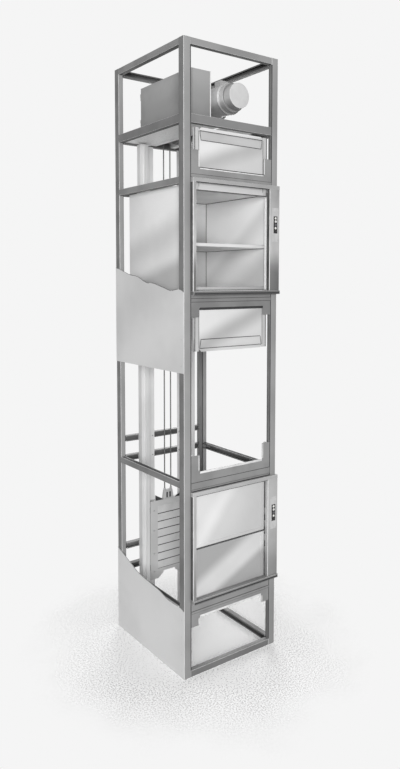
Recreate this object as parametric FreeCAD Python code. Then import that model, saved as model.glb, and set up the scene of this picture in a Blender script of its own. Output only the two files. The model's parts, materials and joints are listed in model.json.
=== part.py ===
"""Two-stop service lift in its own steel structure.

Four lipped angle posts and rings of folded crossbars carry a machine floor, two guide rails, a car,
a counterweight and two landings, each with a vertical bi-parting door. All sizes are millimetres.
While it is drawn, x runs right from the left face of the posts, y runs back from their front face
and z runs up from the floor. save() moves each piece so that the origin is the bottom centre.
"""

import FreeCAD
import Part
import math
import os

Vector = FreeCAD.Vector

# Overall structure
FRAME_WIDTH = 1020.0  # over the posts, along the landing side
FRAME_DEPTH = 1136.0  # over the posts, front to back
CLADDING = 3.0  # side panels stand this far outside the posts
SURROUND_DEPTH = 35.0  # door surrounds stand this far in front of the posts
SILL_NOSE = 45.0  # and their sills this far

# Posts and crossbars, folded from one gauge of sheet
SHEET = 3.0
POST_FLANGE = 72.0
POST_LIP = 28.0  # of a front or rear flange
SIDE_LIP = 44.0  # of a side flange
BAR_HEIGHT = 55.0
BAR_DEPTH = 48.0
BAR_LIP = 12.0
MACHINE_BAR_HEIGHT = 70.0
ANCHOR_RADIUS = 7.0
ANCHOR_INSET = 78.0  # anchor hole from the end of a front or rear base bar

# Clearance between pieces that move past each other
RUNNING_GAP = 0.3

# Levels
LOWER_SILL = 680.0  # height of the lower landing's sill
TRAVEL = 2620.0  # from one landing to the other
SILL_RING_DROP = 68.0  # top of a sill ring below its sill
LOWER_HEAD_RING = 1015.0  # top of the lower head ring above its sill
UPPER_HEAD_RING = 940.0  # top of the upper head ring above its sill
LOWER_REAR_BAR = 142.0  # tops of the two extra rear bars above the lower sill
UPPER_REAR_BAR = 1205.0
OVERHEAD = 1445.0  # machine floor above the upper sill
MACHINE_ROOM = 605.0  # top of the frame above the machine floor

# Door surrounds and fascias, heights from the landing's sill
GAUGE = 2.0  # sheet of surrounds, fascias and doors
OPENING_HEIGHT = 898.0
LEFT_JAMB = 34.0  # face width of the narrow jamb
CONTROL_JAMB = 117.0  # and of the wide jamb with the buttons
HEADER = 32.0
SILL = 32.0
EAR_WIDTH = 85.0  # the ears of a fascia stand beside the notch that shows an open leaf
FASCIA_RETURN = 8.0  # edge of a fascia folded back
NOTCH_CORNER = 8.0
RIB_PROUD = 4.0

# Fascias of each landing: edge of the crosspiece, end of the ears, and the pressed rib's two edges
HEAD_FASCIAS = {"lower": (1092.0, 1236.0, 950.0, 1003.0), "upper": (1016.0, 1161.0, 936.0, 960.0)}
SILL_FASCIAS = {"lower": (-177.0, -247.0, -128.0, -110.0), "upper": (-137.0, -217.0, -88.0, -62.0)}

# Door leaves
LEAF_HEIGHT = 519.0
LEAF_STROKE = 410.0
MEETING = 420.0  # height of the meeting edge above the sill
MEETING_GAP = 3.0
LEAF_FRONT = 12.0  # y of the leaf's front face
LEAF_THICKNESS = 24.0
LEAF_INSET = 12.0  # edge of a leaf inside the surround's opening
LEAF_STILE = 45.0
LEAF_RECESS = 4.0  # main face behind the stiles
GRIP_HEIGHT = 76.0  # recessed grip band near a leaf's outer edge
GRIP_DEPTH = 10.0
GRIP_LANDINGS = ("upper",)  # the other landing's leaves are plain
GRIP_INSET = 10.0  # end of the band from a stile
GRIP_SLANT = 12.0  # the band is this much longer on each side at its outer edge
END_RAIL = 26.0
STILE_SHORT = 4.0  # end of a stile inside the leaf's outer edge
MEETING_RAIL = 35.0
CORNER_CUT = 24.0
GUIDE_WIDTH = 20.0
GUIDE_WALL = 2.0
GUIDE_GAP = 1.0  # from the edge of a leaf
SHOE_HEIGHT = 60.0
SHOE_PLAY = 0.6  # sliding clearance of a shoe in its guide
SHOE_STARTS = (35.0, 150.0)  # of the two shoes on an edge, from the meeting edge

# Landing stations, heights from the sill
PLATE_WIDTH = 75.0
PLATE_HEIGHT = 297.0
STATION_HEIGHT = 584.5  # centre of plate and strip
STRIP_WIDTH = 43.0
STRIP_HEIGHT = 151.0
STRIP_PROUD = 3.0
BUTTON_PITCH = 29.0
BUTTON_RADIUS = 10.5
BUTTON_PROUD = 3.5
BUTTON_TRAVEL = 2.5
BUTTON_PLAY = 0.08
BUTTON_COLLAR = 1.5

# Car
CAR_SIDE_GAP = 12.0  # from the side crossbars
CAR_DOOR_GAP = 14.0  # from the landing doors
CAR_REAR_GAP = 20.0  # from the guide rails
CAR_WALL = 25.0
CAR_SKIN = 1.5
CAR_HEADROOM = 850.0
CAR_FLOOR = 50.0
CAR_FLOOR_STEP = 5.0  # car floor above the landing's sill
CAR_ROOF = 28.0
SHELF_HEIGHT = 400.0  # top of the shelf above the car floor
SHELF = 27.0
SHELF_SETBACK = 7.0

# Guide rails and counterweight
RAIL_OUTSIDE = 195.0  # outer face of a rail from the side of the frame
RAIL_WIDTH = 88.0
RAIL_DEPTH = 62.0
RAIL_WALL = 3.0
BLADE_WIDTH = 10.0  # the car is guided on a blade along the front of each rail
BLADE_OFFSET = 4.0  # of the blade from the middle of the rail
BLADE_DEPTH = 16.0
BACKING_WIDTH = 178.0  # of the plate behind a rail and the counterweight's stile
FORK_PLATE = 3.0
FORK_WIDTH = 24.0
RAIL_TOP_GAP = 3.0
BRACKET_HEIGHT = 36.0
BRACKET_DEPTH = 26.0
SLIDE_PLAY = 0.5
WEIGHT_GAP = 8.0  # counterweight frame from the rail
WEIGHT_DEPTH = 50.0
WEIGHT_SETBACK = 5.0  # behind the rail's front
WEIGHT_STILE = 84.0
WEIGHT_PLATES = 8
PLATE_PITCH = 80.0
PLATE_JOINT = 0.6
WEIGHT_BOTTOM = 483.0
WEIGHT_FOOT = 62.0
WEIGHT_BAR = 33.0
CROSSHEAD = 55.0
CROSSHEAD_WALL = 5.0
GUSSET_HEIGHT = 60.0
GUSSET_LENGTH = 105.0
GUSSET_INSET = 55.0  # its upright edge from the side of the counterweight
HITCH_WIDTH = 124.0  # at its foot
HITCH_TAPER = 16.0  # narrower on each side at its top
HITCH_HEIGHT = 104.0

# Ropes and sheave
ROPE_RADIUS = 6.0
ROPE_SPACING = 74.0
SHEAVE_RADIUS = 221.5  # to the rope's centre line
SHEAVE_RISE = 156.0  # axis above the machine floor
SHEAVE_WIDTH = 110.0
SHEAVE_RIM = 10.0
SHAFT_RADIUS = 30.0
SHAFT_PLAY = 0.05

# Machine
BED_WIDTH = 50.0
BED_HEIGHT = 55.0
MACHINE_OFFSET = 193.0  # worm and motor axis from the middle of the lift
WORM_RISE = 117.0  # worm axis above the wheel's
WHEEL_CASE_RADIUS = 135.0
WHEEL_CASE_WIDTH = 126.0
WORM_CASE_RADIUS = 72.0
MOTOR_RADIUS = 136.0
SHIELD_RADIUS = 127.0  # front end shield, between the cowl and the clamp ring
SHIELD_LENGTH = 68.0
RING_RADIUS = 142.0
RING_WIDTH = 8.0
COWL_RADIUS = 111.0
MOTOR_LENGTH = 350.0
ADAPTER_GAP = 17.0  # the motor's adapter stands this far in front of the sheave's rim
COWL_LENGTH = 74.0
COWL_LAP = 8.0  # of the cowl over the motor's front spigot
COWL_CORNER = 6.0
ADAPTER_RADIUS = 160.0
ADAPTER_LENGTH = 60.0
TERMINAL_SIZE = 90.0
TERMINAL_HEIGHT = 40.0

# Controller cabinet
CABINET_LEFT = 138.0
CABINET_WIDTH = 212.0
CABINET_FRONT = 100.0
CABINET_REAR_GAP = 243.0  # from the back of the frame
CABINET_HEIGHT = 404.0  # above the machine floor
PLATE_OVERHANG = 6.0  # of the floor plate beyond the cabinet
PLATE_GAUGE = 4.0
DOOR_TRAY = 18.0
DOOR_GAP = 1.0
HINGE_RADIUS = 7.0
HINGE_PIN_RADIUS = 4.0
HINGE_LENGTH = 60.0

# Cladding, cut away along an uneven line: heights from the landing's sill, evenly spaced front to rear
LOWER_CUT = (-84, -68, -74, -66, -45, -36, -28, -20, -8, 20, 52, 80, 112)
UPPER_CUT = (-6, 18, 6, 26, 47, 67, 69, 100, 130, 141, 163, 191, 210)
UPPER_CLADDING_BOTTOM = -681.0

# Worked out from the values above
UPPER_SILL = LOWER_SILL + TRAVEL
LANDINGS = (("lower", LOWER_SILL), ("upper", UPPER_SILL))
MACHINE_FLOOR = UPPER_SILL + OVERHEAD
FRAME_HEIGHT = MACHINE_FLOOR + MACHINE_ROOM
CENTRE_X = FRAME_WIDTH / 2
SURROUND_LEFT = POST_FLANGE - SHEET
OPENING_LEFT = SURROUND_LEFT + LEFT_JAMB
OPENING_RIGHT = FRAME_WIDTH - CONTROL_JAMB
LEAF_LEFT = OPENING_LEFT + LEAF_INSET
LEAF_RIGHT = FRAME_WIDTH - LEAF_LEFT
LEAF_BACK = LEAF_FRONT + LEAF_THICKNESS
RAIL_BACK = FRAME_DEPTH - BAR_DEPTH - BRACKET_DEPTH
RAIL_FRONT = RAIL_BACK - RAIL_DEPTH
BLADE_X = RAIL_OUTSIDE + RAIL_WIDTH / 2 - BLADE_OFFSET
CAR_LEFT = BAR_DEPTH + CAR_SIDE_GAP
CAR_RIGHT = FRAME_WIDTH - CAR_LEFT
CAR_FRONT = LEAF_BACK + CAR_DOOR_GAP
CAR_BACK = RAIL_FRONT - CAR_REAR_GAP
CAR_FLOOR_TOP = UPPER_SILL + CAR_FLOOR_STEP
CAR_CEILING = CAR_FLOOR_TOP + CAR_HEADROOM
CAR_ROOF_TOP = CAR_CEILING + CAR_ROOF
RAIL_TOP = MACHINE_FLOOR - MACHINE_BAR_HEIGHT - RAIL_TOP_GAP
WEIGHT_LEFT = RAIL_OUTSIDE + RAIL_WIDTH + WEIGHT_GAP
WEIGHT_RIGHT = FRAME_WIDTH - WEIGHT_LEFT
WEIGHT_FRONT = RAIL_FRONT + WEIGHT_SETBACK
WEIGHT_BACK = WEIGHT_FRONT + WEIGHT_DEPTH
WEIGHT_ROPE_Y = (WEIGHT_FRONT + WEIGHT_BACK) / 2
WEIGHT_TOP = WEIGHT_BOTTOM + WEIGHT_BAR + WEIGHT_PLATES * PLATE_PITCH
SHEAVE_Y = WEIGHT_ROPE_Y - SHEAVE_RADIUS
CAR_ROPE_Y = SHEAVE_Y - SHEAVE_RADIUS
SHEAVE_HEIGHT = MACHINE_FLOOR + SHEAVE_RISE
MACHINE_X = CENTRE_X + MACHINE_OFFSET
MOTOR_BACK = SHEAVE_Y - SHEAVE_RADIUS - SHEAVE_RIM - ADAPTER_GAP - ADAPTER_LENGTH
COWL_FRONT = MOTOR_BACK - MOTOR_LENGTH
ROPE_XS = (CENTRE_X - ROPE_SPACING / 2, CENTRE_X + ROPE_SPACING / 2)
MOTOR_Z = SHEAVE_HEIGHT + WORM_RISE
FLOOR_PLATE_TOP = MACHINE_FLOOR - MACHINE_BAR_HEIGHT + BAR_LIP + PLATE_GAUGE
PEDESTAL_X = CENTRE_X - SHEAVE_WIDTH / 2 - 30.0 - BED_WIDTH / 2
CABINET_BACK = FRAME_DEPTH - CABINET_REAR_GAP
CABINET_TOP = MACHINE_FLOOR + CABINET_HEIGHT
STRIP_FACE = SURROUND_DEPTH + GAUGE + STRIP_PROUD
PLATE_CENTRE_X = OPENING_RIGHT + (FRAME_WIDTH - OPENING_RIGHT) / 2 + 7.0
ORIGIN = Vector(-(FRAME_WIDTH - CLADDING) / 2, -(FRAME_DEPTH - SILL_NOSE) / 2, 0)


def box(x0, x1, y0, y1, z0, z1):
    """A block between two corners, given in either order."""
    low = Vector(min(x0, x1), min(y0, y1), min(z0, z1))
    return Part.makeBox(abs(x1 - x0), abs(y1 - y0), abs(z1 - z0), low)


def rod(start, end, radius):
    """A round bar between two points."""
    along = end - start
    return Part.makeCylinder(radius, along.Length, start, along)


def prism(corners, direction):
    """A polygon carried along a direction."""
    return Part.Face(Part.makePolygon(corners + corners[:1])).extrude(direction)


def joined(shapes):
    """One solid from pieces that touch."""
    return shapes[0].fuse(shapes[1:]).removeSplitter()


def mirrored(shape):
    """The same piece on the other side of the lift."""
    return shape.mirror(Vector(CENTRE_X, 0, 0), Vector(1, 0, 0))


def save(name, *shapes):
    """Writes one node, moved to the lift's own origin."""
    solids = [solid for shape in shapes for solid in shape.Solids]
    node = Part.makeCompound([solid.translated(ORIGIN) for solid in solids])
    node.exportStep(os.path.join("parts", name + ".step"))


# Structure


def post(right, rear):
    """A lipped angle with its corner on one corner of the frame."""
    x, into_x = (FRAME_WIDTH, -1) if right else (0.0, 1)
    y, into_y = (FRAME_DEPTH, -1) if rear else (0.0, 1)
    far_x, far_y = x + into_x * POST_FLANGE, y + into_y * POST_FLANGE
    lip_x, lip_y = x + into_x * SIDE_LIP, y + into_y * POST_LIP
    top = FRAME_HEIGHT
    return joined([
        box(x, far_x, y, y + into_y * SHEET, 0, top),
        box(x, x + into_x * SHEET, y, far_y, 0, top),
        box(far_x, far_x - into_x * SHEET, y, lip_y, 0, top),
        box(x, lip_x, far_y, far_y - into_y * SHEET, 0, top),
    ])


def channel(outer, into, top, height):
    """Section of a lipped channel bar: boxes as (across from, across to, z from, z to)."""
    inner = outer + into * BAR_DEPTH
    lip = inner - into * SHEET
    bottom = top - height
    return [
        (outer, outer + into * SHEET, bottom, top),
        (outer, inner, top - SHEET, top),
        (outer, inner, bottom, bottom + SHEET),
        (lip, inner, top - BAR_LIP, top),
        (lip, inner, bottom, bottom + BAR_LIP),
    ]


def cross_bar(rear, top, height=BAR_HEIGHT):
    """A bar along the front or the rear, between the posts' lips."""
    outer, into = (FRAME_DEPTH, -1) if rear else (0.0, 1)
    left, right = POST_FLANGE, FRAME_WIDTH - POST_FLANGE
    section = channel(outer, into, top, height)
    return joined([box(left, right, a, b, low, high) for a, b, low, high in section])


def side_bar(right, top, height=BAR_HEIGHT):
    """A bar along one side, between the posts' lips."""
    outer, into = (FRAME_WIDTH, -1) if right else (0.0, 1)
    front, back = POST_FLANGE, FRAME_DEPTH - POST_FLANGE
    section = channel(outer, into, top, height)
    return joined([box(a, b, front, back, low, high) for a, b, low, high in section])


def anchored(bar, rear):
    """A base bar with an anchor hole near each end of its lower flange."""
    y = FRAME_DEPTH - BAR_DEPTH / 2 if rear else BAR_DEPTH / 2
    for x in (POST_FLANGE + ANCHOR_INSET, FRAME_WIDTH - POST_FLANGE - ANCHOR_INSET):
        bar = bar.cut(rod(Vector(x, y, -SHEET), Vector(x, y, 2 * SHEET), ANCHOR_RADIUS))
    return bar


def build_structure():
    """Posts, crossbars, machine-floor plate and cladding."""
    save("front_left_post", post(right=False, rear=False))
    save("front_right_post", post(right=True, rear=False))
    save("rear_left_post", post(right=False, rear=True))
    save("rear_right_post", post(right=True, rear=True))
    rings = [
        LOWER_SILL - SILL_RING_DROP,
        LOWER_SILL + LOWER_HEAD_RING,
        UPPER_SILL - SILL_RING_DROP,
        UPPER_SILL + UPPER_HEAD_RING,
        FRAME_HEIGHT,
    ]
    extra = [LOWER_SILL + LOWER_REAR_BAR, LOWER_SILL + UPPER_REAR_BAR]
    floor = (MACHINE_FLOOR, MACHINE_BAR_HEIGHT)
    save(
        "front_crossbars",
        anchored(cross_bar(False, BAR_HEIGHT), rear=False),
        cross_bar(False, *floor),
        cross_bar(False, FRAME_HEIGHT),
    )
    save(
        "rear_crossbars",
        anchored(cross_bar(True, BAR_HEIGHT), rear=True),
        cross_bar(True, *floor),
        *[cross_bar(True, top) for top in rings + extra],
    )
    for name, right in (("left_crossbars", False), ("right_crossbars", True)):
        bars = [side_bar(right, top) for top in [BAR_HEIGHT] + rings]
        save(name, side_bar(right, *floor), *bars)
    lip = BAR_DEPTH - SHEET
    right = CABINET_LEFT + CABINET_WIDTH + PLATE_OVERHANG
    plate = box(lip, right, lip, FRAME_DEPTH - lip, FLOOR_PLATE_TOP - PLATE_GAUGE, FLOOR_PLATE_TOP)
    save("machine_floor_plate", plate)


def cladding(bottom, sill, cut):
    """A side panel whose upper edge runs smoothly through the heights of a cut line."""
    front, back = Vector(-CLADDING, 0, bottom), Vector(-CLADDING, FRAME_DEPTH, bottom)
    step = FRAME_DEPTH / (len(cut) - 1)
    line = [Vector(-CLADDING, index * step, sill + height) for index, height in enumerate(cut)]
    edge = Part.BSplineCurve()
    edge.interpolate(line)
    outline = Part.Wire([
        Part.LineSegment(front, back).toShape(),
        Part.LineSegment(back, line[-1]).toShape(),
        edge.toShape(),
        Part.LineSegment(line[0], front).toShape(),
    ])
    return Part.Face(outline).extrude(Vector(CLADDING, 0, 0))


def build_cladding():
    """The two panels left on the side of the frame."""
    save("lower_side_cladding", cladding(0, LOWER_SILL, LOWER_CUT))
    bottom = UPPER_SILL + UPPER_CLADDING_BOTTOM
    save("upper_side_cladding", cladding(bottom, UPPER_SILL, UPPER_CUT))


# Landings


def jamb(left, right, sill):
    """An upright of the surround: a channel open to the back."""
    low, high, front = sill, sill + OPENING_HEIGHT, -SURROUND_DEPTH
    return joined([
        box(left, right, front, front + GAUGE, low, high),
        box(left, left + GAUGE, front, 0, low, high),
        box(right - GAUGE, right, front, 0, low, high),
    ])


def rail(low, high, nose, reach):
    """A header or sill of the surround: a channel open to the back."""
    left, right = SURROUND_LEFT, FRAME_WIDTH
    return joined([
        box(left, right, -nose, -nose + GAUGE, low, high),
        box(left, right, -nose, reach, high - GAUGE, high),
        box(left, right, -nose, reach, low, low + GAUGE),
        box(left, left + GAUGE, -nose, 0, low, high),
        box(right - GAUGE, right, -nose, 0, low, high),
    ])


def fascia(sill, inner, cross, ear, rib_low, rib_high):
    """A notched plate between the posts; inner is its edge next to the door opening."""
    left, right = POST_FLANGE, FRAME_WIDTH - POST_FLANGE
    up = 1 if ear > inner else -1
    notch_left, notch_right = left + EAR_WIDTH, right - EAR_WIDTH
    outline = [
        (left, inner), (right, inner), (right, ear), (notch_right, ear),
        (notch_right, cross + up * NOTCH_CORNER), (notch_right - NOTCH_CORNER, cross),
        (notch_left + NOTCH_CORNER, cross), (notch_left, cross + up * NOTCH_CORNER),
        (notch_left, ear), (left, ear),
    ]
    plate = prism([Vector(x, 0, sill + z) for x, z in outline], Vector(0, GAUGE, 0))
    level, start, end = sill + cross, sill + cross + up * NOTCH_CORNER, sill + ear
    folds = [
        box(notch_right, notch_right + GAUGE, 0, FASCIA_RETURN, start, end),
        box(notch_left, notch_left - GAUGE, 0, FASCIA_RETURN, start, end),
        box(notch_left + NOTCH_CORNER, notch_right - NOTCH_CORNER, 0, FASCIA_RETURN,
            level, level - up * GAUGE),
    ]
    rib = box(left, right, -RIB_PROUD, 0, sill + rib_low, sill + rib_high)
    return joined([plate, rib] + folds)


def door_guide(sill, low, high):
    """A channel that a leaf's shoes run in, open towards the leaf."""
    right, front = LEAF_LEFT - GUIDE_GAP, GAUGE
    left, back = right - GUIDE_WIDTH, LEAF_BACK + 2 * GUIDE_WALL
    return joined([
        box(left, left + GUIDE_WALL, front, back, sill + low, sill + high),
        box(left, right, front, front + GUIDE_WALL, sill + low, sill + high),
        box(left, right, back - GUIDE_WALL, back, sill + low, sill + high),
    ])


def leaf(meeting, up, gripped):
    """A door leaf that reaches from its meeting edge up (1) or down (-1), with a grip band or plain."""

    def slab(x0, x1, y0, y1, z0, z1):
        return box(x0, x1, y0, y1, meeting + up * z0, meeting + up * z1)

    left, right, front, back = LEAF_LEFT, LEAF_RIGHT, LEAF_FRONT, LEAF_BACK
    gap = MEETING_GAP / 2
    end = LEAF_HEIGHT
    side_end, stile_end = end - END_RAIL, end - STILE_SHORT
    inner_left, inner_right = left + LEAF_STILE, right - LEAF_STILE
    face = front + LEAF_RECESS
    pieces = [
        slab(inner_left, inner_right, face, face + GAUGE, gap, side_end),
        slab(inner_left, inner_right, front, back, side_end, side_end + GAUGE),
        slab(inner_left, inner_right, front, front + GAUGE, gap, MEETING_RAIL),
        slab(inner_left, inner_right, front, back, gap, gap + GAUGE),
        slab(inner_left, inner_right, front, face + GAUGE, MEETING_RAIL - GAUGE, MEETING_RAIL),
    ]
    rail_corners = [
        (inner_left, side_end), (inner_right, side_end), (inner_right - CORNER_CUT, end),
        (inner_left + CORNER_CUT, end),
    ]
    corners = [Vector(x, front, meeting + up * z) for x, z in rail_corners]
    pieces.append(prism(corners, Vector(0, GAUGE, 0)))
    for outer, inner, into in ((left, inner_left, 1), (right, inner_right, -1)):
        pieces.append(slab(outer, inner, front, front + GAUGE, gap, stile_end))
        pieces.append(slab(outer, inner, back - GAUGE, back, gap, stile_end))
        pieces.append(slab(outer, outer + into * GAUGE, front, back, gap, stile_end))
        pieces.append(slab(inner, inner - into * GAUGE, front, back, gap, stile_end))
    if not gripped:
        return joined(pieces)
    pieces.append(grip(meeting, up, face, GRIP_DEPTH + GAUGE - LEAF_RECESS, GAUGE))
    return joined(pieces).cut(grip(meeting, up, front, GRIP_DEPTH, 0))


def grip(meeting, up, start, depth, wall):
    """The space of a leaf's grip band, or with a wall the pressing round it."""
    outer = LEAF_HEIGHT - END_RAIL - GAUGE + wall
    inner = LEAF_HEIGHT - END_RAIL - GAUGE - GRIP_HEIGHT - wall
    narrow = LEAF_STILE + GRIP_INSET + GRIP_SLANT - wall
    wide = LEAF_STILE + GRIP_INSET - wall
    outline = [
        (LEAF_LEFT + narrow, inner), (LEAF_RIGHT - narrow, inner),
        (LEAF_RIGHT - wide, outer), (LEAF_LEFT + wide, outer),
    ]
    corners = [Vector(x, start, meeting + up * z) for x, z in outline]
    return prism(corners, Vector(0, depth, 0))


def leaf_shoes(meeting, up):
    """Two sliding shoes on each edge of a leaf, near its meeting edge."""
    front, back = GAUGE + GUIDE_WALL + SHOE_PLAY, LEAF_BACK + GUIDE_WALL - SHOE_PLAY
    left = LEAF_LEFT - GUIDE_GAP - GUIDE_WIDTH + GUIDE_WALL + SHOE_PLAY
    shoes = []
    for start in SHOE_STARTS:
        low, high = meeting + up * start, meeting + up * (start + SHOE_HEIGHT)
        shoe = box(left, LEAF_LEFT, front, back, low, high)
        shoes += [shoe, mirrored(shoe)]
    return shoes


def build_landing(name, sill):
    """The door leaves of one landing, each with its shoes."""
    meeting = sill + MEETING
    for half, up in (("top", 1), ("bottom", -1)):
        opened = LEAF_STROKE if name == "upper" else 0.0
        edge = meeting + up * opened
        panel = leaf(edge, up, name in GRIP_LANDINGS)
        save("%s_landing_%s_leaf" % (name, half), panel, *leaf_shoes(edge, up))


def build_surrounds():
    """The fixed pieces round both door openings."""
    jambs_left, jambs_right, headers, sills, heads, aprons, guides = [], [], [], [], [], [], []
    for name, sill in LANDINGS:
        head_cross, head_ear, head_rib_low, head_rib_high = HEAD_FASCIAS[name]
        sill_cross, sill_ear, sill_rib_low, sill_rib_high = SILL_FASCIAS[name]
        jambs_left.append(jamb(SURROUND_LEFT, OPENING_LEFT, sill))
        control = jamb(OPENING_RIGHT, FRAME_WIDTH, sill)
        for place in range(5):
            control = control.cut(station_hole(sill, place))
        jambs_right.append(control)
        top = sill + OPENING_HEIGHT
        headers.append(rail(top, top + HEADER, SURROUND_DEPTH, 0))
        sills.append(rail(sill - SILL, sill, SILL_NOSE, 0))
        head_edge = OPENING_HEIGHT + GAUGE
        heads.append(fascia(sill, head_edge, head_cross, head_ear, head_rib_low, head_rib_high))
        aprons.append(fascia(sill, -GAUGE, sill_cross, sill_ear, sill_rib_low, sill_rib_high))
        guide = door_guide(sill, sill_ear, head_ear)
        guides += [guide, mirrored(guide)]
    save("door_left_jambs", *jambs_left)
    save("door_control_jambs", *jambs_right)
    save("door_headers", *headers)
    save("door_sills", *sills)
    save("head_fascias", *heads)
    save("sill_fascias", *aprons)
    save("door_guides", *guides)


def station_centre(sill, place):
    """Centre of one of the five round places, counted from the top, on the strip's face."""
    z = sill + STATION_HEIGHT + (2 - place) * BUTTON_PITCH
    return Vector(PLATE_CENTRE_X, -STRIP_FACE, z)


def station_hole(sill, place, radius=BUTTON_RADIUS + BUTTON_COLLAR / 2):
    """A cutter through the strip, the plate and the jamb's face."""
    centre = station_centre(sill, place)
    return rod(centre, centre + Vector(0, SURROUND_DEPTH, 0), radius)


def button(sill, place):
    """A push button with a collar that keeps it behind the jamb's face."""
    centre = station_centre(sill, place)
    back = STRIP_FACE - SURROUND_DEPTH + GAUGE + RUNNING_GAP
    cap = rod(centre - Vector(0, BUTTON_PROUD, 0), centre + Vector(0, back, 0), BUTTON_RADIUS)
    collar_start = centre + Vector(0, back, 0)
    collar = rod(collar_start, collar_start + Vector(0, GAUGE, 0), BUTTON_RADIUS + 2 * BUTTON_COLLAR)
    return joined([cap, collar])


def build_stations():
    """Control plates, button strips, lamps and push buttons."""
    plates, strips, lamps = [], [], []
    buttons = {1: "call", 2: "send", 4: "stop"}
    for name, sill in LANDINGS:
        centre = sill + STATION_HEIGHT
        half = PLATE_WIDTH / 2
        left, right = PLATE_CENTRE_X - half, PLATE_CENTRE_X + half
        low, high = centre - PLATE_HEIGHT / 2, centre + PLATE_HEIGHT / 2
        plate = box(left, right, -SURROUND_DEPTH - GAUGE, -SURROUND_DEPTH, low, high)
        left, right = PLATE_CENTRE_X - STRIP_WIDTH / 2, PLATE_CENTRE_X + STRIP_WIDTH / 2
        low, high = centre - STRIP_HEIGHT / 2, centre + STRIP_HEIGHT / 2
        strip = box(left, right, -STRIP_FACE, -SURROUND_DEPTH - GAUGE, low, high)
        for place in range(5):
            plate = plate.cut(station_hole(sill, place))
            strip = strip.cut(station_hole(sill, place, BUTTON_RADIUS + BUTTON_PLAY))
            if place in buttons:
                save("%s_%s_button" % (name, buttons[place]), button(sill, place))
            else:
                start = station_centre(sill, place) - Vector(0, 1, 0)
                lens = rod(start, start + Vector(0, STRIP_PROUD + 1, 0), BUTTON_RADIUS + BUTTON_PLAY)
                lamps.append(lens)
        plates.append(plate)
        strips.append(strip)
    save("control_plates", *plates)
    save("button_strips", *strips)
    save("indicator_lamps", *lamps)


# Car


def hollow_panel(x0, x1, y0, y1, z0, z1, open_axis, skin=CAR_SKIN):
    """A double-skinned panel, open at its two ends along one axis."""
    grow = [skin, skin, skin]
    grow[open_axis] = -1.0
    inner = box(x0 + grow[0], x1 - grow[0], y0 + grow[1], y1 - grow[1], z0 + grow[2], z1 - grow[2])
    return box(x0, x1, y0, y1, z0, z1).cut(inner)


def build_car():
    """Floor, walls, roof, shelf, guide shoes and rope hitch of the car."""
    inside_left, inside_right = CAR_LEFT + CAR_WALL, CAR_RIGHT - CAR_WALL
    inside_back = CAR_BACK - CAR_WALL
    bottom = CAR_FLOOR_TOP - CAR_FLOOR
    save("car_left_wall", hollow_panel(
        CAR_LEFT, inside_left, CAR_FRONT, CAR_BACK, bottom, CAR_CEILING, 2))
    save("car_right_wall", hollow_panel(
        inside_right, CAR_RIGHT, CAR_FRONT, CAR_BACK, bottom, CAR_CEILING, 2))
    save("car_back_wall", hollow_panel(
        inside_left, inside_right, inside_back, CAR_BACK, bottom, CAR_CEILING, 2))
    save("car_floor", hollow_panel(
        inside_left, inside_right, CAR_FRONT, inside_back, bottom, CAR_FLOOR_TOP, 0))
    save("car_roof", hollow_panel(
        CAR_LEFT, CAR_RIGHT, CAR_FRONT, CAR_BACK, CAR_CEILING, CAR_ROOF_TOP, 1))
    shelf_top = CAR_FLOOR_TOP + SHELF_HEIGHT
    save("car_shelf", hollow_panel(
        inside_left, inside_right, CAR_FRONT + SHELF_SETBACK, inside_back, shelf_top - SHELF, shelf_top, 0))
    near = BLADE_WIDTH / 2 + SLIDE_PLAY
    far = near + FORK_WIDTH
    shoes = []
    for low in (bottom + CAR_FLOOR, CAR_CEILING - 2 * SHOE_HEIGHT):
        high = low + 2 * SHOE_HEIGHT
        shoe = joined([
            box(BLADE_X - far, BLADE_X + far, CAR_BACK, CAR_BACK + FORK_PLATE, low, high),
            box(BLADE_X - far, BLADE_X - near, CAR_BACK, RAIL_FRONT - SLIDE_PLAY, low, high),
            box(BLADE_X + near, BLADE_X + far, CAR_BACK, RAIL_FRONT - SLIDE_PLAY, low, high),
        ])
        shoes += [shoe, mirrored(shoe)]
    save("car_guide_shoes", *shoes)
    save("car_rope_hitch", car_hitch())


def car_hitch():
    """A channel across the roof with a socket for each rope."""
    wide = BED_WIDTH / 2
    top = CAR_ROOF_TOP + BAR_HEIGHT
    front, back = CAR_ROPE_Y - wide, CAR_ROPE_Y + wide
    pieces = [
        box(CAR_LEFT, CAR_RIGHT, front, back, top - SHEET, top),
        box(CAR_LEFT, CAR_RIGHT, front, front + SHEET, CAR_ROOF_TOP, top),
        box(CAR_LEFT, CAR_RIGHT, back - SHEET, back, CAR_ROOF_TOP, top),
    ]
    for x in ROPE_XS:
        foot = Vector(x, CAR_ROPE_Y, top)
        pieces.append(rod(foot, foot + Vector(0, 0, 3 * ROPE_RADIUS), 2 * ROPE_RADIUS))
    return joined(pieces)


# Guide rails and counterweight


def guide_rail():
    """A hollow rail, the blade along its front and the plate behind it and the counterweight."""
    left, right = RAIL_OUTSIDE, RAIL_OUTSIDE + RAIL_WIDTH
    plate = RAIL_BACK - RAIL_WALL
    tube = box(left, right, RAIL_FRONT, plate, 0, RAIL_TOP).cut(box(
        left + RAIL_WALL, right - RAIL_WALL, RAIL_FRONT + RAIL_WALL, plate - RAIL_WALL, -1, RAIL_TOP + 1))
    half = BLADE_WIDTH / 2
    blade = box(BLADE_X - half, BLADE_X + half, RAIL_FRONT - BLADE_DEPTH, RAIL_FRONT, 0, RAIL_TOP)
    return [tube, blade, box(left, left + BACKING_WIDTH, plate, RAIL_BACK, 0, RAIL_TOP)]


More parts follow.
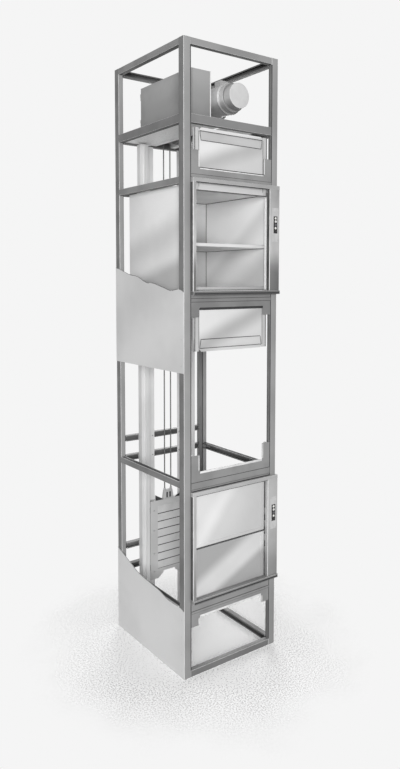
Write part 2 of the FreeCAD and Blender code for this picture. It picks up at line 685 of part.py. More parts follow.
def build_rails():
    """Both guide rails and the brackets that hold them to the rear bars."""
    rail_left = guide_rail()
    save("left_guide_rail", *rail_left)
    save("right_guide_rail", *[mirrored(solid) for solid in rail_left])
    brackets = []
    tops = [
        LOWER_SILL - SILL_RING_DROP, LOWER_SILL + LOWER_REAR_BAR, LOWER_SILL + LOWER_HEAD_RING,
        LOWER_SILL + UPPER_REAR_BAR, UPPER_SILL - SILL_RING_DROP, UPPER_SILL + UPPER_HEAD_RING,
    ]
    middle = RAIL_OUTSIDE + RAIL_WIDTH / 2
    for top in tops:
        z = top - BAR_HEIGHT / 2
        bracket = box(
            middle - BRACKET_HEIGHT, middle + BRACKET_HEIGHT, RAIL_BACK, RAIL_BACK + BRACKET_DEPTH,
            z - BRACKET_HEIGHT / 2, z + BRACKET_HEIGHT / 2,
        )
        brackets += [bracket, mirrored(bracket)]
    save("rail_brackets", *brackets)


def weight_stile():
    """The left upright of the counterweight: a channel open to the plates."""
    left, right = WEIGHT_LEFT, WEIGHT_LEFT + WEIGHT_STILE
    low, high = WEIGHT_BOTTOM, WEIGHT_TOP
    return joined([
        box(left, left + SHEET, WEIGHT_FRONT, WEIGHT_BACK, low, high),
        box(left, right, WEIGHT_FRONT, WEIGHT_FRONT + SHEET, low, high),
        box(left, right, WEIGHT_BACK - SHEET, WEIGHT_BACK, low, high),
    ])


def weight_crosshead():
    """A box beam over the stack, with a gusset standing on it near each end."""
    high = WEIGHT_TOP + CROSSHEAD
    beam = hollow_panel(
        WEIGHT_LEFT, WEIGHT_RIGHT, WEIGHT_FRONT, WEIGHT_BACK, WEIGHT_TOP, high, 0, CROSSHEAD_WALL)
    upright = WEIGHT_LEFT + GUSSET_INSET
    outline = [(upright, high), (upright + GUSSET_LENGTH, high), (upright, high + GUSSET_HEIGHT)]
    gusset = prism([Vector(x, WEIGHT_FRONT, z) for x, z in outline], Vector(0, 2 * SHEET, 0))
    return joined([beam, gusset, mirrored(gusset)])


def weight_foot():
    """The left foot under the counterweight, cut back towards the middle."""
    left, top = WEIGHT_LEFT, WEIGHT_BOTTOM
    long, short = WEIGHT_STILE + 65.0, WEIGHT_STILE + 5.0
    outline = [
        (left, top), (left + long, top), (left + long, top - WEIGHT_FOOT / 4),
        (left + short, top - WEIGHT_FOOT), (left, top - WEIGHT_FOOT),
    ]
    return prism([Vector(x, WEIGHT_FRONT, z) for x, z in outline], Vector(0, SHEET * 2, 0))


def build_counterweight():
    """Frame, plates, shoes and hitch of the counterweight."""
    stile, foot = weight_stile(), weight_foot()
    inner_left, inner_right = WEIGHT_LEFT + SHEET, WEIGHT_RIGHT - SHEET
    front, back = WEIGHT_FRONT + SHEET, WEIGHT_BACK - SHEET
    bottom_bar = box(inner_left, inner_right, front, back, WEIGHT_BOTTOM, WEIGHT_BOTTOM + WEIGHT_BAR)
    frame = [stile, mirrored(stile), foot, mirrored(foot), bottom_bar, weight_crosshead()]
    save("counterweight_frame", *frame)
    plates = []
    for index in range(WEIGHT_PLATES):
        low = WEIGHT_BOTTOM + WEIGHT_BAR + index * PLATE_PITCH
        plates.append(box(
            inner_left + 1, inner_right - 1, front + 1, back - 1, low, low + PLATE_PITCH - PLATE_JOINT))
    save("counterweight_plates", *plates)
    shoes = []
    for low in (WEIGHT_BOTTOM + WEIGHT_BAR, WEIGHT_TOP - SHOE_HEIGHT):
        shoe = box(
            RAIL_OUTSIDE + RAIL_WIDTH + SLIDE_PLAY, WEIGHT_LEFT, front, back, low, low + SHOE_HEIGHT)
        shoes += [shoe, mirrored(shoe)]
    save("counterweight_guide_shoes", *shoes)
    save("counterweight_rope_hitch", weight_hitch())


def weight_hitch():
    """A block on the crosshead with a boss for each rope and two slots between them."""
    half = HITCH_WIDTH / 2
    low = WEIGHT_TOP + CROSSHEAD
    high = low + HITCH_HEIGHT - 3 * ROPE_RADIUS
    front, back = WEIGHT_ROPE_Y - 2.5 * ROPE_RADIUS, WEIGHT_ROPE_Y + 2.5 * ROPE_RADIUS
    outline = [
        (-half, low), (half, low), (half - HITCH_TAPER, high), (HITCH_TAPER - half, high)]
    block = prism([Vector(CENTRE_X + x, front, z) for x, z in outline], Vector(0, back - front, 0))
    for x in (CENTRE_X - HITCH_WIDTH / 7, CENTRE_X + HITCH_WIDTH / 7):
        block = block.cut(box(x - 8, x + 8, front - 1, back + 1, low + 8, high - 24))
    bosses = []
    for x in ROPE_XS:
        foot = Vector(x, WEIGHT_ROPE_Y, high)
        bosses.append(rod(foot, foot + Vector(0, 0, 3 * ROPE_RADIUS), 2 * ROPE_RADIUS))
    return joined([block] + bosses)


# Ropes and machine


def build_ropes():
    """The straight falls to the car and the counterweight, and the turns over the sheave."""
    car_end = CAR_ROOF_TOP + BAR_HEIGHT + 3 * ROPE_RADIUS
    weight_end = WEIGHT_TOP + CROSSHEAD + HITCH_HEIGHT
    car_falls, weight_falls, turns = [], [], []
    for x in ROPE_XS:
        car_falls.append(rod(
            Vector(x, CAR_ROPE_Y, car_end), Vector(x, CAR_ROPE_Y, SHEAVE_HEIGHT), ROPE_RADIUS))
        weight_falls.append(rod(
            Vector(x, WEIGHT_ROPE_Y, weight_end), Vector(x, WEIGHT_ROPE_Y, SHEAVE_HEIGHT), ROPE_RADIUS))
        start = Vector(x, CAR_ROPE_Y, SHEAVE_HEIGHT)
        section = Part.Face(Part.Wire(Part.makeCircle(ROPE_RADIUS, start, Vector(0, 0, 1))))
        turns.append(section.revolve(Vector(x, SHEAVE_Y, SHEAVE_HEIGHT), Vector(1, 0, 0), -180))
    save("car_ropes", *car_falls)
    save("counterweight_ropes", *weight_falls)
    save("sheave_rope_turns", *turns)


def sheave():
    """A grooved wheel with a thick rim, a web with five holes and a long hub."""
    centre = Vector(CENTRE_X, SHEAVE_Y, SHEAVE_HEIGHT)
    half = SHEAVE_WIDTH / 2
    rim = SHEAVE_RADIUS + SHEAVE_RIM
    along = Vector(1, 0, 0)

    def disc(radius, left, right):
        return rod(centre + along * left, centre + along * right, radius)

    wheel = disc(rim, -half, half)
    hollow = disc(rim - 45, -half - 1, -10).fuse(disc(rim - 45, 10, half + 1))
    wheel = wheel.cut(hollow).fuse(disc(SHAFT_RADIUS * 2, -half, half))
    groove = ROPE_RADIUS + RUNNING_GAP
    for x in ROPE_XS:
        ring = Part.makeTorus(SHEAVE_RADIUS, groove, Vector(x, SHEAVE_Y, SHEAVE_HEIGHT), along)
        mouth = disc(rim + 5, x - groove - CENTRE_X, x + groove - CENTRE_X)
        mouth = mouth.cut(disc(SHEAVE_RADIUS, -half, half))
        wheel = wheel.cut(ring.fuse(mouth))
    for index in range(5):
        turn = index * math.tau / 5
        arm = Vector(0, math.cos(turn), math.sin(turn)) * (SHEAVE_RADIUS * 0.53)
        wheel = wheel.cut(rod(centre + arm - along * 20, centre + arm + along * 20, 38.0))
    return wheel.cut(disc(SHAFT_RADIUS, -half - 1, half + 1))


def build_sheave():
    """The drive sheave and its shaft, which ends in the gearbox and in the outer bearing."""
    save("drive_sheave", sheave())
    left = Vector(PEDESTAL_X - BED_WIDTH / 2 - 6, SHEAVE_Y, SHEAVE_HEIGHT)
    right = Vector(MACHINE_X - WHEEL_CASE_WIDTH / 4, SHEAVE_Y, SHEAVE_HEIGHT)
    save("sheave_shaft", rod(left, right, SHAFT_RADIUS))


def gearbox():
    """A worm gearbox: wheel case, worm case across it, adapter, web and foot plate."""
    wheel = Vector(MACHINE_X, SHEAVE_Y, SHEAVE_HEIGHT)
    half = Vector(WHEEL_CASE_WIDTH / 2, 0, 0)
    worm_front = Vector(MACHINE_X, MOTOR_BACK, MOTOR_Z)
    worm_back = Vector(MACHINE_X, SHEAVE_Y + WHEEL_CASE_RADIUS + 25, MOTOR_Z)
    adapter_end = worm_front + Vector(0, ADAPTER_LENGTH, 0)
    foot_half_x, foot_half_y = 113.0, WHEEL_CASE_RADIUS + 20
    foot_top = MACHINE_FLOOR + 18
    pieces = [
        rod(wheel - half, wheel + half, WHEEL_CASE_RADIUS),
        rod(adapter_end, worm_back, WORM_CASE_RADIUS),
        rod(worm_front, adapter_end, ADAPTER_RADIUS),
        rod(wheel - half * 1.25, wheel, SHAFT_RADIUS * 1.9),
        box(MACHINE_X - 50, MACHINE_X + 50, SHEAVE_Y - WHEEL_CASE_RADIUS, SHEAVE_Y + WHEEL_CASE_RADIUS,
            MACHINE_FLOOR, SHEAVE_HEIGHT),
        box(MACHINE_X - foot_half_x, MACHINE_X + foot_half_x, SHEAVE_Y - foot_half_y,
            SHEAVE_Y + foot_half_y, MACHINE_FLOOR, foot_top),
    ]
    bore_start = wheel - half * 2
    bore_end = Vector(MACHINE_X - WHEEL_CASE_WIDTH / 4 + 1, SHEAVE_Y, SHEAVE_HEIGHT)
    return joined(pieces).cut(rod(bore_start, bore_end, SHAFT_RADIUS + SHAFT_PLAY))


def motor_frame():
    """The motor's drum, its clamp ring, its front shield and the spigot under the fan cowl."""
    front = COWL_FRONT + COWL_LENGTH
    ring = front + SHIELD_LENGTH
    back = MOTOR_BACK
    stages = [
        (front, front + COWL_LAP, COWL_RADIUS - SHEET),
        (front + COWL_LAP, ring, SHIELD_RADIUS),
        (ring, ring + RING_WIDTH, RING_RADIUS),
        (ring + RING_WIDTH, back, MOTOR_RADIUS),
    ]
    return joined([
        rod(Vector(MACHINE_X, start, MOTOR_Z), Vector(MACHINE_X, end, MOTOR_Z), radius)
        for start, end, radius in stages
    ])


def domed_rod(front, back, radius, corner):
    """A bar along the motor's axis with a rounded front edge."""
    bar = rod(Vector(MACHINE_X, front, MOTOR_Z), Vector(MACHINE_X, back, MOTOR_Z), radius)
    rim = [edge for edge in bar.Edges if edge.BoundBox.YMax < front + 0.01]
    return bar.makeFillet(corner, rim)


def motor_cowl():
    """A pressed cup over the motor's fan."""
    back = COWL_FRONT + COWL_LENGTH + COWL_LAP
    outer = domed_rod(COWL_FRONT, back, COWL_RADIUS, COWL_CORNER)
    inner = domed_rod(COWL_FRONT + SHEET, back + 1, COWL_RADIUS - SHEET, COWL_CORNER - SHEET)
    return outer.cut(inner)


def terminal_box():
    """A box saddled on top of the motor's drum."""
    middle = MOTOR_BACK - TERMINAL_SIZE
    half = TERMINAL_SIZE / 2
    block = box(
        MACHINE_X - half, MACHINE_X + half, middle - half, middle + half,
        MOTOR_Z + MOTOR_RADIUS - half, MOTOR_Z + MOTOR_RADIUS + TERMINAL_HEIGHT)
    return block.cut(rod(
        Vector(MACHINE_X, COWL_FRONT, MOTOR_Z), Vector(MACHINE_X, MOTOR_BACK, MOTOR_Z), MOTOR_RADIUS))


def pedestal():
    """The outer bearing block that carries the free end of the sheave shaft."""
    half = BED_WIDTH / 2
    body = joined([
        box(PEDESTAL_X - half, PEDESTAL_X + half, SHEAVE_Y - 75, SHEAVE_Y + 75,
            MACHINE_FLOOR, MACHINE_FLOOR + 16),
        box(PEDESTAL_X - half + 6, PEDESTAL_X + half - 6, SHEAVE_Y - 48, SHEAVE_Y + 48,
            MACHINE_FLOOR, SHEAVE_HEIGHT),
        rod(Vector(PEDESTAL_X - half + 6, SHEAVE_Y, SHEAVE_HEIGHT),
            Vector(PEDESTAL_X + half - 6, SHEAVE_Y, SHEAVE_HEIGHT), 55.0),
    ])
    bore = rod(
        Vector(PEDESTAL_X - BED_WIDTH, SHEAVE_Y, SHEAVE_HEIGHT),
        Vector(PEDESTAL_X + BED_WIDTH, SHEAVE_Y, SHEAVE_HEIGHT), SHAFT_RADIUS + SHAFT_PLAY)
    return body.cut(bore)


def build_machine():
    """Bed, gearbox, motor, bearing and terminal box."""
    beds = []
    half = BED_WIDTH / 2
    for x in (PEDESTAL_X, MACHINE_X - 88, MACHINE_X + 88):
        beds.append(box(
            x - half, x + half, BAR_DEPTH, FRAME_DEPTH - BAR_DEPTH, MACHINE_FLOOR - BED_HEIGHT, MACHINE_FLOOR))
    save("machine_bed", *beds)
    save("gearbox_housing", gearbox())
    save("motor_frame", motor_frame())
    save("motor_fan_cowl", motor_cowl())
    save("bearing_pedestal", pedestal())
    save("motor_terminal_box", terminal_box())


def build_cabinet():
    """The controller cabinet with its hinged side door."""
    left, right = CABINET_LEFT + DOOR_TRAY + DOOR_GAP, CABINET_LEFT + CABINET_WIDTH
    front, back = CABINET_FRONT, CABINET_BACK
    bottom = FLOOR_PLATE_TOP
    shell = box(left, right, front, back, bottom, CABINET_TOP).cut(box(
        left - 1, right - GAUGE, front + GAUGE, back - GAUGE, bottom + GAUGE, CABINET_TOP - GAUGE))
    door_bottom = MACHINE_FLOOR + 15
    plinth = box(left, left + GAUGE, front, back, bottom, door_bottom)
    hinge_x, hinge_y = CABINET_LEFT + DOOR_TRAY / 2, back + HINGE_RADIUS + DOOR_GAP
    height = CABINET_TOP - door_bottom
    knuckles, sleeves = [], []
    for share in (0.2, 0.8):
        z = door_bottom + share * height
        knuckles.append(rod(
            Vector(hinge_x, hinge_y, z - HINGE_LENGTH / 2), Vector(hinge_x, hinge_y, z), HINGE_RADIUS))
        strap = back + DOOR_GAP
        knuckles.append(box(hinge_x, left + 20, strap, strap + SHEET, z - HINGE_LENGTH / 2, z))
        knuckles.append(box(left, left + 20, back, strap, z - HINGE_LENGTH / 2, z))
        knuckles.append(rod(
            Vector(hinge_x, hinge_y, z - 1), Vector(hinge_x, hinge_y, z + HINGE_LENGTH / 2), HINGE_PIN_RADIUS))
        sleeve = rod(
            Vector(hinge_x, hinge_y, z + RUNNING_GAP), Vector(hinge_x, hinge_y, z + HINGE_LENGTH / 2),
            HINGE_RADIUS)
        arm = box(
            CABINET_LEFT, hinge_x, back - GAUGE, hinge_y + 2, z + RUNNING_GAP, z + HINGE_LENGTH / 2)
        bore = rod(
            Vector(hinge_x, hinge_y, z - 2), Vector(hinge_x, hinge_y, z + HINGE_LENGTH),
            HINGE_PIN_RADIUS + SHAFT_PLAY)
        sleeves.append(joined([sleeve, arm]).cut(bore))
    save("cabinet_body", joined([shell, plinth] + knuckles))
    door = box(CABINET_LEFT, CABINET_LEFT + DOOR_TRAY, front, back, door_bottom, CABINET_TOP).cut(box(
        CABINET_LEFT + GAUGE, CABINET_LEFT + DOOR_TRAY + 1, front + GAUGE, back - GAUGE,
        door_bottom + GAUGE, CABINET_TOP - GAUGE))
    latch_z = door_bottom + height / 2
    latch = rod(
        Vector(CABINET_LEFT - 6, front + 45, latch_z), Vector(CABINET_LEFT, front + 45, latch_z), 13.0)
    save("cabinet_door", joined([door, latch] + sleeves))


def main():
    """Builds every node of the lift."""
    os.makedirs("parts", exist_ok=True)
    build_structure()
    build_cladding()
    build_surrounds()
    build_stations()
    for name, sill in LANDINGS:
        build_landing(name, sill)
    build_car()
    build_rails()
    build_counterweight()
    build_ropes()
    build_sheave()
    build_machine()
    build_cabinet()


main()
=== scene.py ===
"""Dresses the two-stop dumbwaiter lift: finishes for its frame, doors, car and machine, fastenings and seals.

Sizes are in millimetres in the lift's own axes: x runs right from the left face of the posts, y runs back
from their front face and z runs up from the floor. at() turns them into the scene's metres.
"""

import json
import logging
import math
from collections.abc import Callable
from dataclasses import dataclass, field, replace
from enum import Enum

import bmesh
import bpy
from mathutils import Matrix, Vector


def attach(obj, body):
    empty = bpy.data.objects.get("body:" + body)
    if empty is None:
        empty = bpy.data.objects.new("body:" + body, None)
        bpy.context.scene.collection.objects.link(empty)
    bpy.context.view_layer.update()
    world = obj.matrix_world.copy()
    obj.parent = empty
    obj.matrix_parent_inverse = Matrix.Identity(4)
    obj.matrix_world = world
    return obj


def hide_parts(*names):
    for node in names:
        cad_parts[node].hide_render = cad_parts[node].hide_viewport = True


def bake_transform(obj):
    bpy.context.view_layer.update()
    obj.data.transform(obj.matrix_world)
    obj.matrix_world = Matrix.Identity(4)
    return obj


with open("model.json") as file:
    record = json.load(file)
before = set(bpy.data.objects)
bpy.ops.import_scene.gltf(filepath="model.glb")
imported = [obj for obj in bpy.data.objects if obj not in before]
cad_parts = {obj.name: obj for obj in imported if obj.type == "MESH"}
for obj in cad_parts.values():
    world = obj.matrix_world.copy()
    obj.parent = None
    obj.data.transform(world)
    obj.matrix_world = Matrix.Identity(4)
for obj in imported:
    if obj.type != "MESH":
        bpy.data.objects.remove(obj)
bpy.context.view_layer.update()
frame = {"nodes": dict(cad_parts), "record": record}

LOG = logging.getLogger("lift")

MM = 0.001
# The place on the lift that stands at the scene's origin.
MIDDLE = Vector((508.5, 545.5, 0.0))
# Points nearer to each other than this are one, in metres.
WELD = 0.01 * MM
RENDER_TALL = 769.0
Point = tuple[float, float, float]

# Places that several parts share.
CENTRE_X = 510.0
MACHINE_FLOOR = 4745.0
ROPE_XS = (473.0, 547.0)
CAR_ROPE_Y = 587.0
WEIGHT_ROPE_Y = 1030.0
SHEAVE_CENTRE = (CENTRE_X, 808.5, 4901.0)
SOCKET_RADIUS = 8.5
SOCKET_SECTION = 2.2


def at(x: float, y: float, z: float) -> Vector:
    """Turns a place on the lift into scene metres.

    Args:
        x: Millimetres right of the posts' left face.
        y: Millimetres behind the posts' front face.
        z: Millimetres above the floor.

    Returns:
        The same place in the scene.
    """
    return (Vector((x, y, z)) - MIDDLE) * MM


def linear(colour: str) -> tuple[float, float, float, float]:
    """Turns an sRGB hex colour into Blender's linear colour.

    Args:
        colour: Six hex digits.

    Returns:
        Red, green, blue and an alpha of 1.
    """
    parts = [int(colour[i:i + 2], 16) / 255 for i in (0, 2, 4)]
    red, green, blue = (p / 12.92 if p <= 0.04045 else ((p + 0.055) / 1.055) ** 2.4 for p in parts)
    return red, green, blue, 1.0


def add(
        tree: bpy.types.NodeTree, kind: str, inputs: dict | None = None,
        **settings: object) -> bpy.types.Node:
    """Adds one node with its settings and links.

    Args:
        tree: The node tree that gets it.
        kind: The node's type name.
        inputs: Socket name or number to a value, to the socket that feeds it, or to a node whose
            first output does.
        settings: The node's own properties.

    Returns:
        The new node.
    """
    made = tree.nodes.new(kind)
    for name, value in settings.items():
        setattr(made, name, value)
    for name, value in (inputs or {}).items():
        source = value.outputs[0] if isinstance(value, bpy.types.Node) else value
        if isinstance(source, bpy.types.NodeSocket):
            tree.links.new(source, made.inputs[name])
        else:
            made.inputs[name].default_value = source
    return made


def start_material(name: str) -> tuple[bpy.types.Material, bpy.types.NodeTree, bpy.types.Node]:
    """Starts a material.

    Args:
        name: What it is called.

    Returns:
        The material, its tree and the tree's main shader.
    """
    made = bpy.data.materials.new(name)
    made.use_nodes = True
    return made, made.node_tree, made.node_tree.nodes["Principled BSDF"]


def add_object(name: str, data: bpy.types.ID) -> bpy.types.Object:
    """Adds an object to the scene.

    Args:
        name: What it is called.
        data: Its mesh, lamp or camera.

    Returns:
        The new object.
    """
    made = bpy.data.objects.new(name, data)
    bpy.context.scene.collection.objects.link(made)
    return made


def node_mesh(node: str) -> bmesh.types.BMesh:
    """Copies a node's mesh, with its doubled points joined.

    Args:
        node: The node's name.

    Returns:
        The copy, which the caller frees.
    """
    mesh = bmesh.new()
    mesh.from_mesh(frame["nodes"][node].data)
    bmesh.ops.remove_doubles(mesh, verts=mesh.verts, dist=WELD)
    return mesh


@dataclass(frozen=True)
class Sweep:
    """Painted bands of light and shade across a sheet: painted reflections and shading, multiplied into its
    colour.

    Attributes:
        along: Multiplies x, y and z; the sum is the distance across the bands.
        stops: That distance in millimetres, and a tone from 0 to 1 that multiplies the colour.
        blur: How far the bands wander, in millimetres.
    """

    along: Point
    stops: tuple[tuple[float, float], ...]
    blur: float = 40.0

    def tone(self, tree: bpy.types.NodeTree, spot: bpy.types.NodeSocket) -> bpy.types.Node:
        """Adds the bands to a material.

        Args:
            tree: The material's tree.
            spot: Object coordinates in metres.

        Returns:
            The node whose first output is the tone.
        """
        low, high = self.stops[0][0], self.stops[-1][0]
        start = Vector(self.along).dot(MIDDLE)
        noise = add(tree, "ShaderNodeTexNoise", {"Vector": spot, "Scale": 1.6, "Detail": 1.0})
        across = add(tree, "ShaderNodeVectorMath", {0: spot, 1: self.along}, operation="DOT_PRODUCT")
        wander = add(tree, "ShaderNodeMath", {
            0: noise, 1: 2 * self.blur * MM, 2: across.outputs["Value"]}, operation="MULTIPLY_ADD")
        share = add(tree, "ShaderNodeMapRange", {
            "Value": wander, "From Min": (low - start + self.blur) * MM,
            "From Max": (high - start + self.blur) * MM})
        ramp = add(tree, "ShaderNodeValToRGB", {0: share})
        ramp.color_ramp.interpolation = "EASE"
        places = ramp.color_ramp.elements
        for _ in self.stops[2:]:
            places.new(0.5)
        for element, (distance, tone) in zip(places, self.stops):
            element.position = (distance - low) / (high - low)
            element.color = (tone, tone, tone, 1.0)
        return ramp


@dataclass(frozen=True)
class Coating:
    """Any opaque finish: a colour with cloudy variation, a grain or grit, and its bump.

    Attributes:
        name: What the finish is called.
        colour: Main colour, sRGB hex.
        shade: Colour of the darker clouds.
        cloud: Size of a cloud in millimetres.
        grain: Size of the grain across its lines, or of one grit, in millimetres.
        stretch: How much longer the grain is along x, y and z than across.
        grain_tone: How much the grain darkens the colour, 0 to 1.
        bump: Height of the grain in millimetres.
        metallic: 0 for paint and plastic, 1 for bare metal.
        roughness: Of the smooth parts.
        rough_more: Added to the roughness in the darker clouds.
        coat: Clear coat weight.
        sweep: Bands of light across the piece.
    """

    name: str
    colour: str
    shade: str
    cloud: float = 300.0
    grain: float = 1.0
    stretch: Point = (1.0, 1.0, 1.0)
    grain_tone: float = 0.0
    bump: float = 0.02
    metallic: float = 0.0
    roughness: float = 0.5
    rough_more: float = 0.1
    coat: float = 0.0
    sweep: Sweep | None = None

    def material(self) -> bpy.types.Material:
        """Builds the material, once for each name.

        Returns:
            The material of that name.
        """
        made = bpy.data.materials.get(self.name)
        if made:
            return made
        made, tree, shader = start_material(self.name)
        spot = add(tree, "ShaderNodeTexCoord").outputs["Object"]
        cloud = add(tree, "ShaderNodeTexNoise", {"Vector": spot, "Scale": 1000 / self.cloud, "Detail": 3.0})
        clouds = add(tree, "ShaderNodeMapRange", {
            "Value": cloud, "From Min": 0.38, "From Max": 0.66}, interpolation_type="SMOOTHSTEP")
        tone = add(tree, "ShaderNodeMix", {
            0: clouds, 6: linear(self.colour), 7: linear(self.shade)}, data_type="RGBA").outputs[2]
        fine = add(tree, "ShaderNodeMapping", {"Vector": spot, "Scale": tuple(1 / s for s in self.stretch)})
        grain = add(tree, "ShaderNodeTexNoise", {
            "Vector": fine, "Scale": 1000 / self.grain, "Detail": 4.0, "Roughness": 0.62})
        if self.grain_tone:
            darker = add(tree, "ShaderNodeMapRange", {
                "Value": grain, "From Min": 0.35, "From Max": 0.65,
                "To Min": 1 - self.grain_tone, "To Max": 1.0})
            tone = add(tree, "ShaderNodeMix", {
                0: 1.0, 6: tone, 7: darker}, data_type="RGBA", blend_type="MULTIPLY").outputs[2]
        if self.sweep:
            tone = add(tree, "ShaderNodeMix", {
                0: 1.0, 6: tone, 7: self.sweep.tone(tree, spot)},
                data_type="RGBA", blend_type="MULTIPLY").outputs[2]
        rough = add(tree, "ShaderNodeMapRange", {
            "Value": clouds, "To Min": self.roughness, "To Max": self.roughness + self.rough_more})
        bump = add(tree, "ShaderNodeBump", {"Height": grain, "Distance": self.bump * MM, "Strength": 0.6})
        tree.links.new(tone, shader.inputs["Base Color"])
        tree.links.new(rough.outputs[0], shader.inputs["Roughness"])
        tree.links.new(bump.outputs[0], shader.inputs["Normal"])
        shader.inputs["Metallic"].default_value = self.metallic
        shader.inputs["Coat Weight"].default_value = self.coat
        shader.inputs["Coat Roughness"].default_value = 0.12
        return made


# How the posts, bars and sheets catch the light along their length.
POST_SWEEP = Sweep((0, 0, 1), ((0, 0.85), (1500, 1.0)), 120)
BAR_SWEEP = Sweep(
    (0, 0, 1), ((0, 0.5), (550, 0.85), (1750, 0.85), (4200, 1.0), (4650, 0.7), (5300, 0.95)), 6)
FASCIA_SWEEP = Sweep((0, 0, 1), ((1950, 0.95), (2900, 0.75), (3250, 0.75), (3500, 1.0)), 6)
SURROUND_SWEEP = Sweep(
    (0, 0, 1),
    ((700, 0.5), (1200, 0.95), (1600, 0.9), (3300, 0.3), (3450, 0.35), (3700, 1.0), (4200, 0.75)), 8)
CAR_SIDE_SWEEP = Sweep((0, 0.3, 1), ((3550, 0.55), (3700, 0.9), (3900, 0.75), (4100, 1.0)))
CAR_INNER_SWEEP = Sweep((0, 0.75, 1), ((3600, 0.65), (3850, 0.9), (4050, 0.8), (4200, 1.0)))
CAR_REAR_SWEEP = Sweep((0, 0, 1), ((3300, 0.6), (3670, 0.8), (3720, 0.4), (4150, 1.0)), 4)
UPPER_LEAF_SWEEP = Sweep((-0.35, 0, 1), ((4150, 0.75), (4275, 0.6), (4400, 0.95), (4550, 0.9)), 20)
UPPER_APRON_SWEEP = Sweep((-0.45, 0, 1), ((2600, 0.8), (2750, 0.55), (2900, 0.9)), 20)
LOWER_LEAF_SWEEP = Sweep((-1.25, 0, 1), ((300, 0.7), (750, 0.8), (950, 1.0), (1150, 0.9)), 25)
LOWER_APRON_SWEEP = Sweep((-0.5, 0, 1), ((450, 0.5), (550, 0.85), (650, 0.85), (800, 0.5)), 25)
CLADDING_SWEEP = Sweep(
    (0, 0.5, 1), ((0, 0.9), (500, 1.0), (2700, 0.9), (3100, 1.0), (3600, 0.9), (4000, 1.0)), 90)
CABINET_SWEEP = Sweep((0, 0, 1), ((4600, 0.4), (4900, 0.75), (5150, 1.0)), 10)
MOTOR_SWEEP = Sweep((0, 0, 1), ((4920, 0.4), (5000, 1.0), (5150, 0.6)), 4)

# Satin powder coat over folded steel: even grey, faint orange peel, clouded by handling.
POWDER = Coating("powder_coat", "9d9d9d", "929292", cloud=420, grain=2.5, bump=0.03, roughness=0.42)
# That coat, a little rougher and with smaller clouds.
ROUGHER_POWDER = replace(POWDER, cloud=260, roughness=0.48)
# Stainless door leaf, brushed upright. Each leaf has its own bands of painted reflection and shade.
LEAF = Coating("brushed_leaf", "f2f2f2", "ececec", cloud=500, grain=1.6, stretch=(1, 1, 40),
               grain_tone=0.04, metallic=0.06, roughness=0.54)
# Moulded push-button plastic.
BUTTON = Coating("button_plastic", "e8e8e6", "dededc", cloud=12, bump=0.01, roughness=0.28)


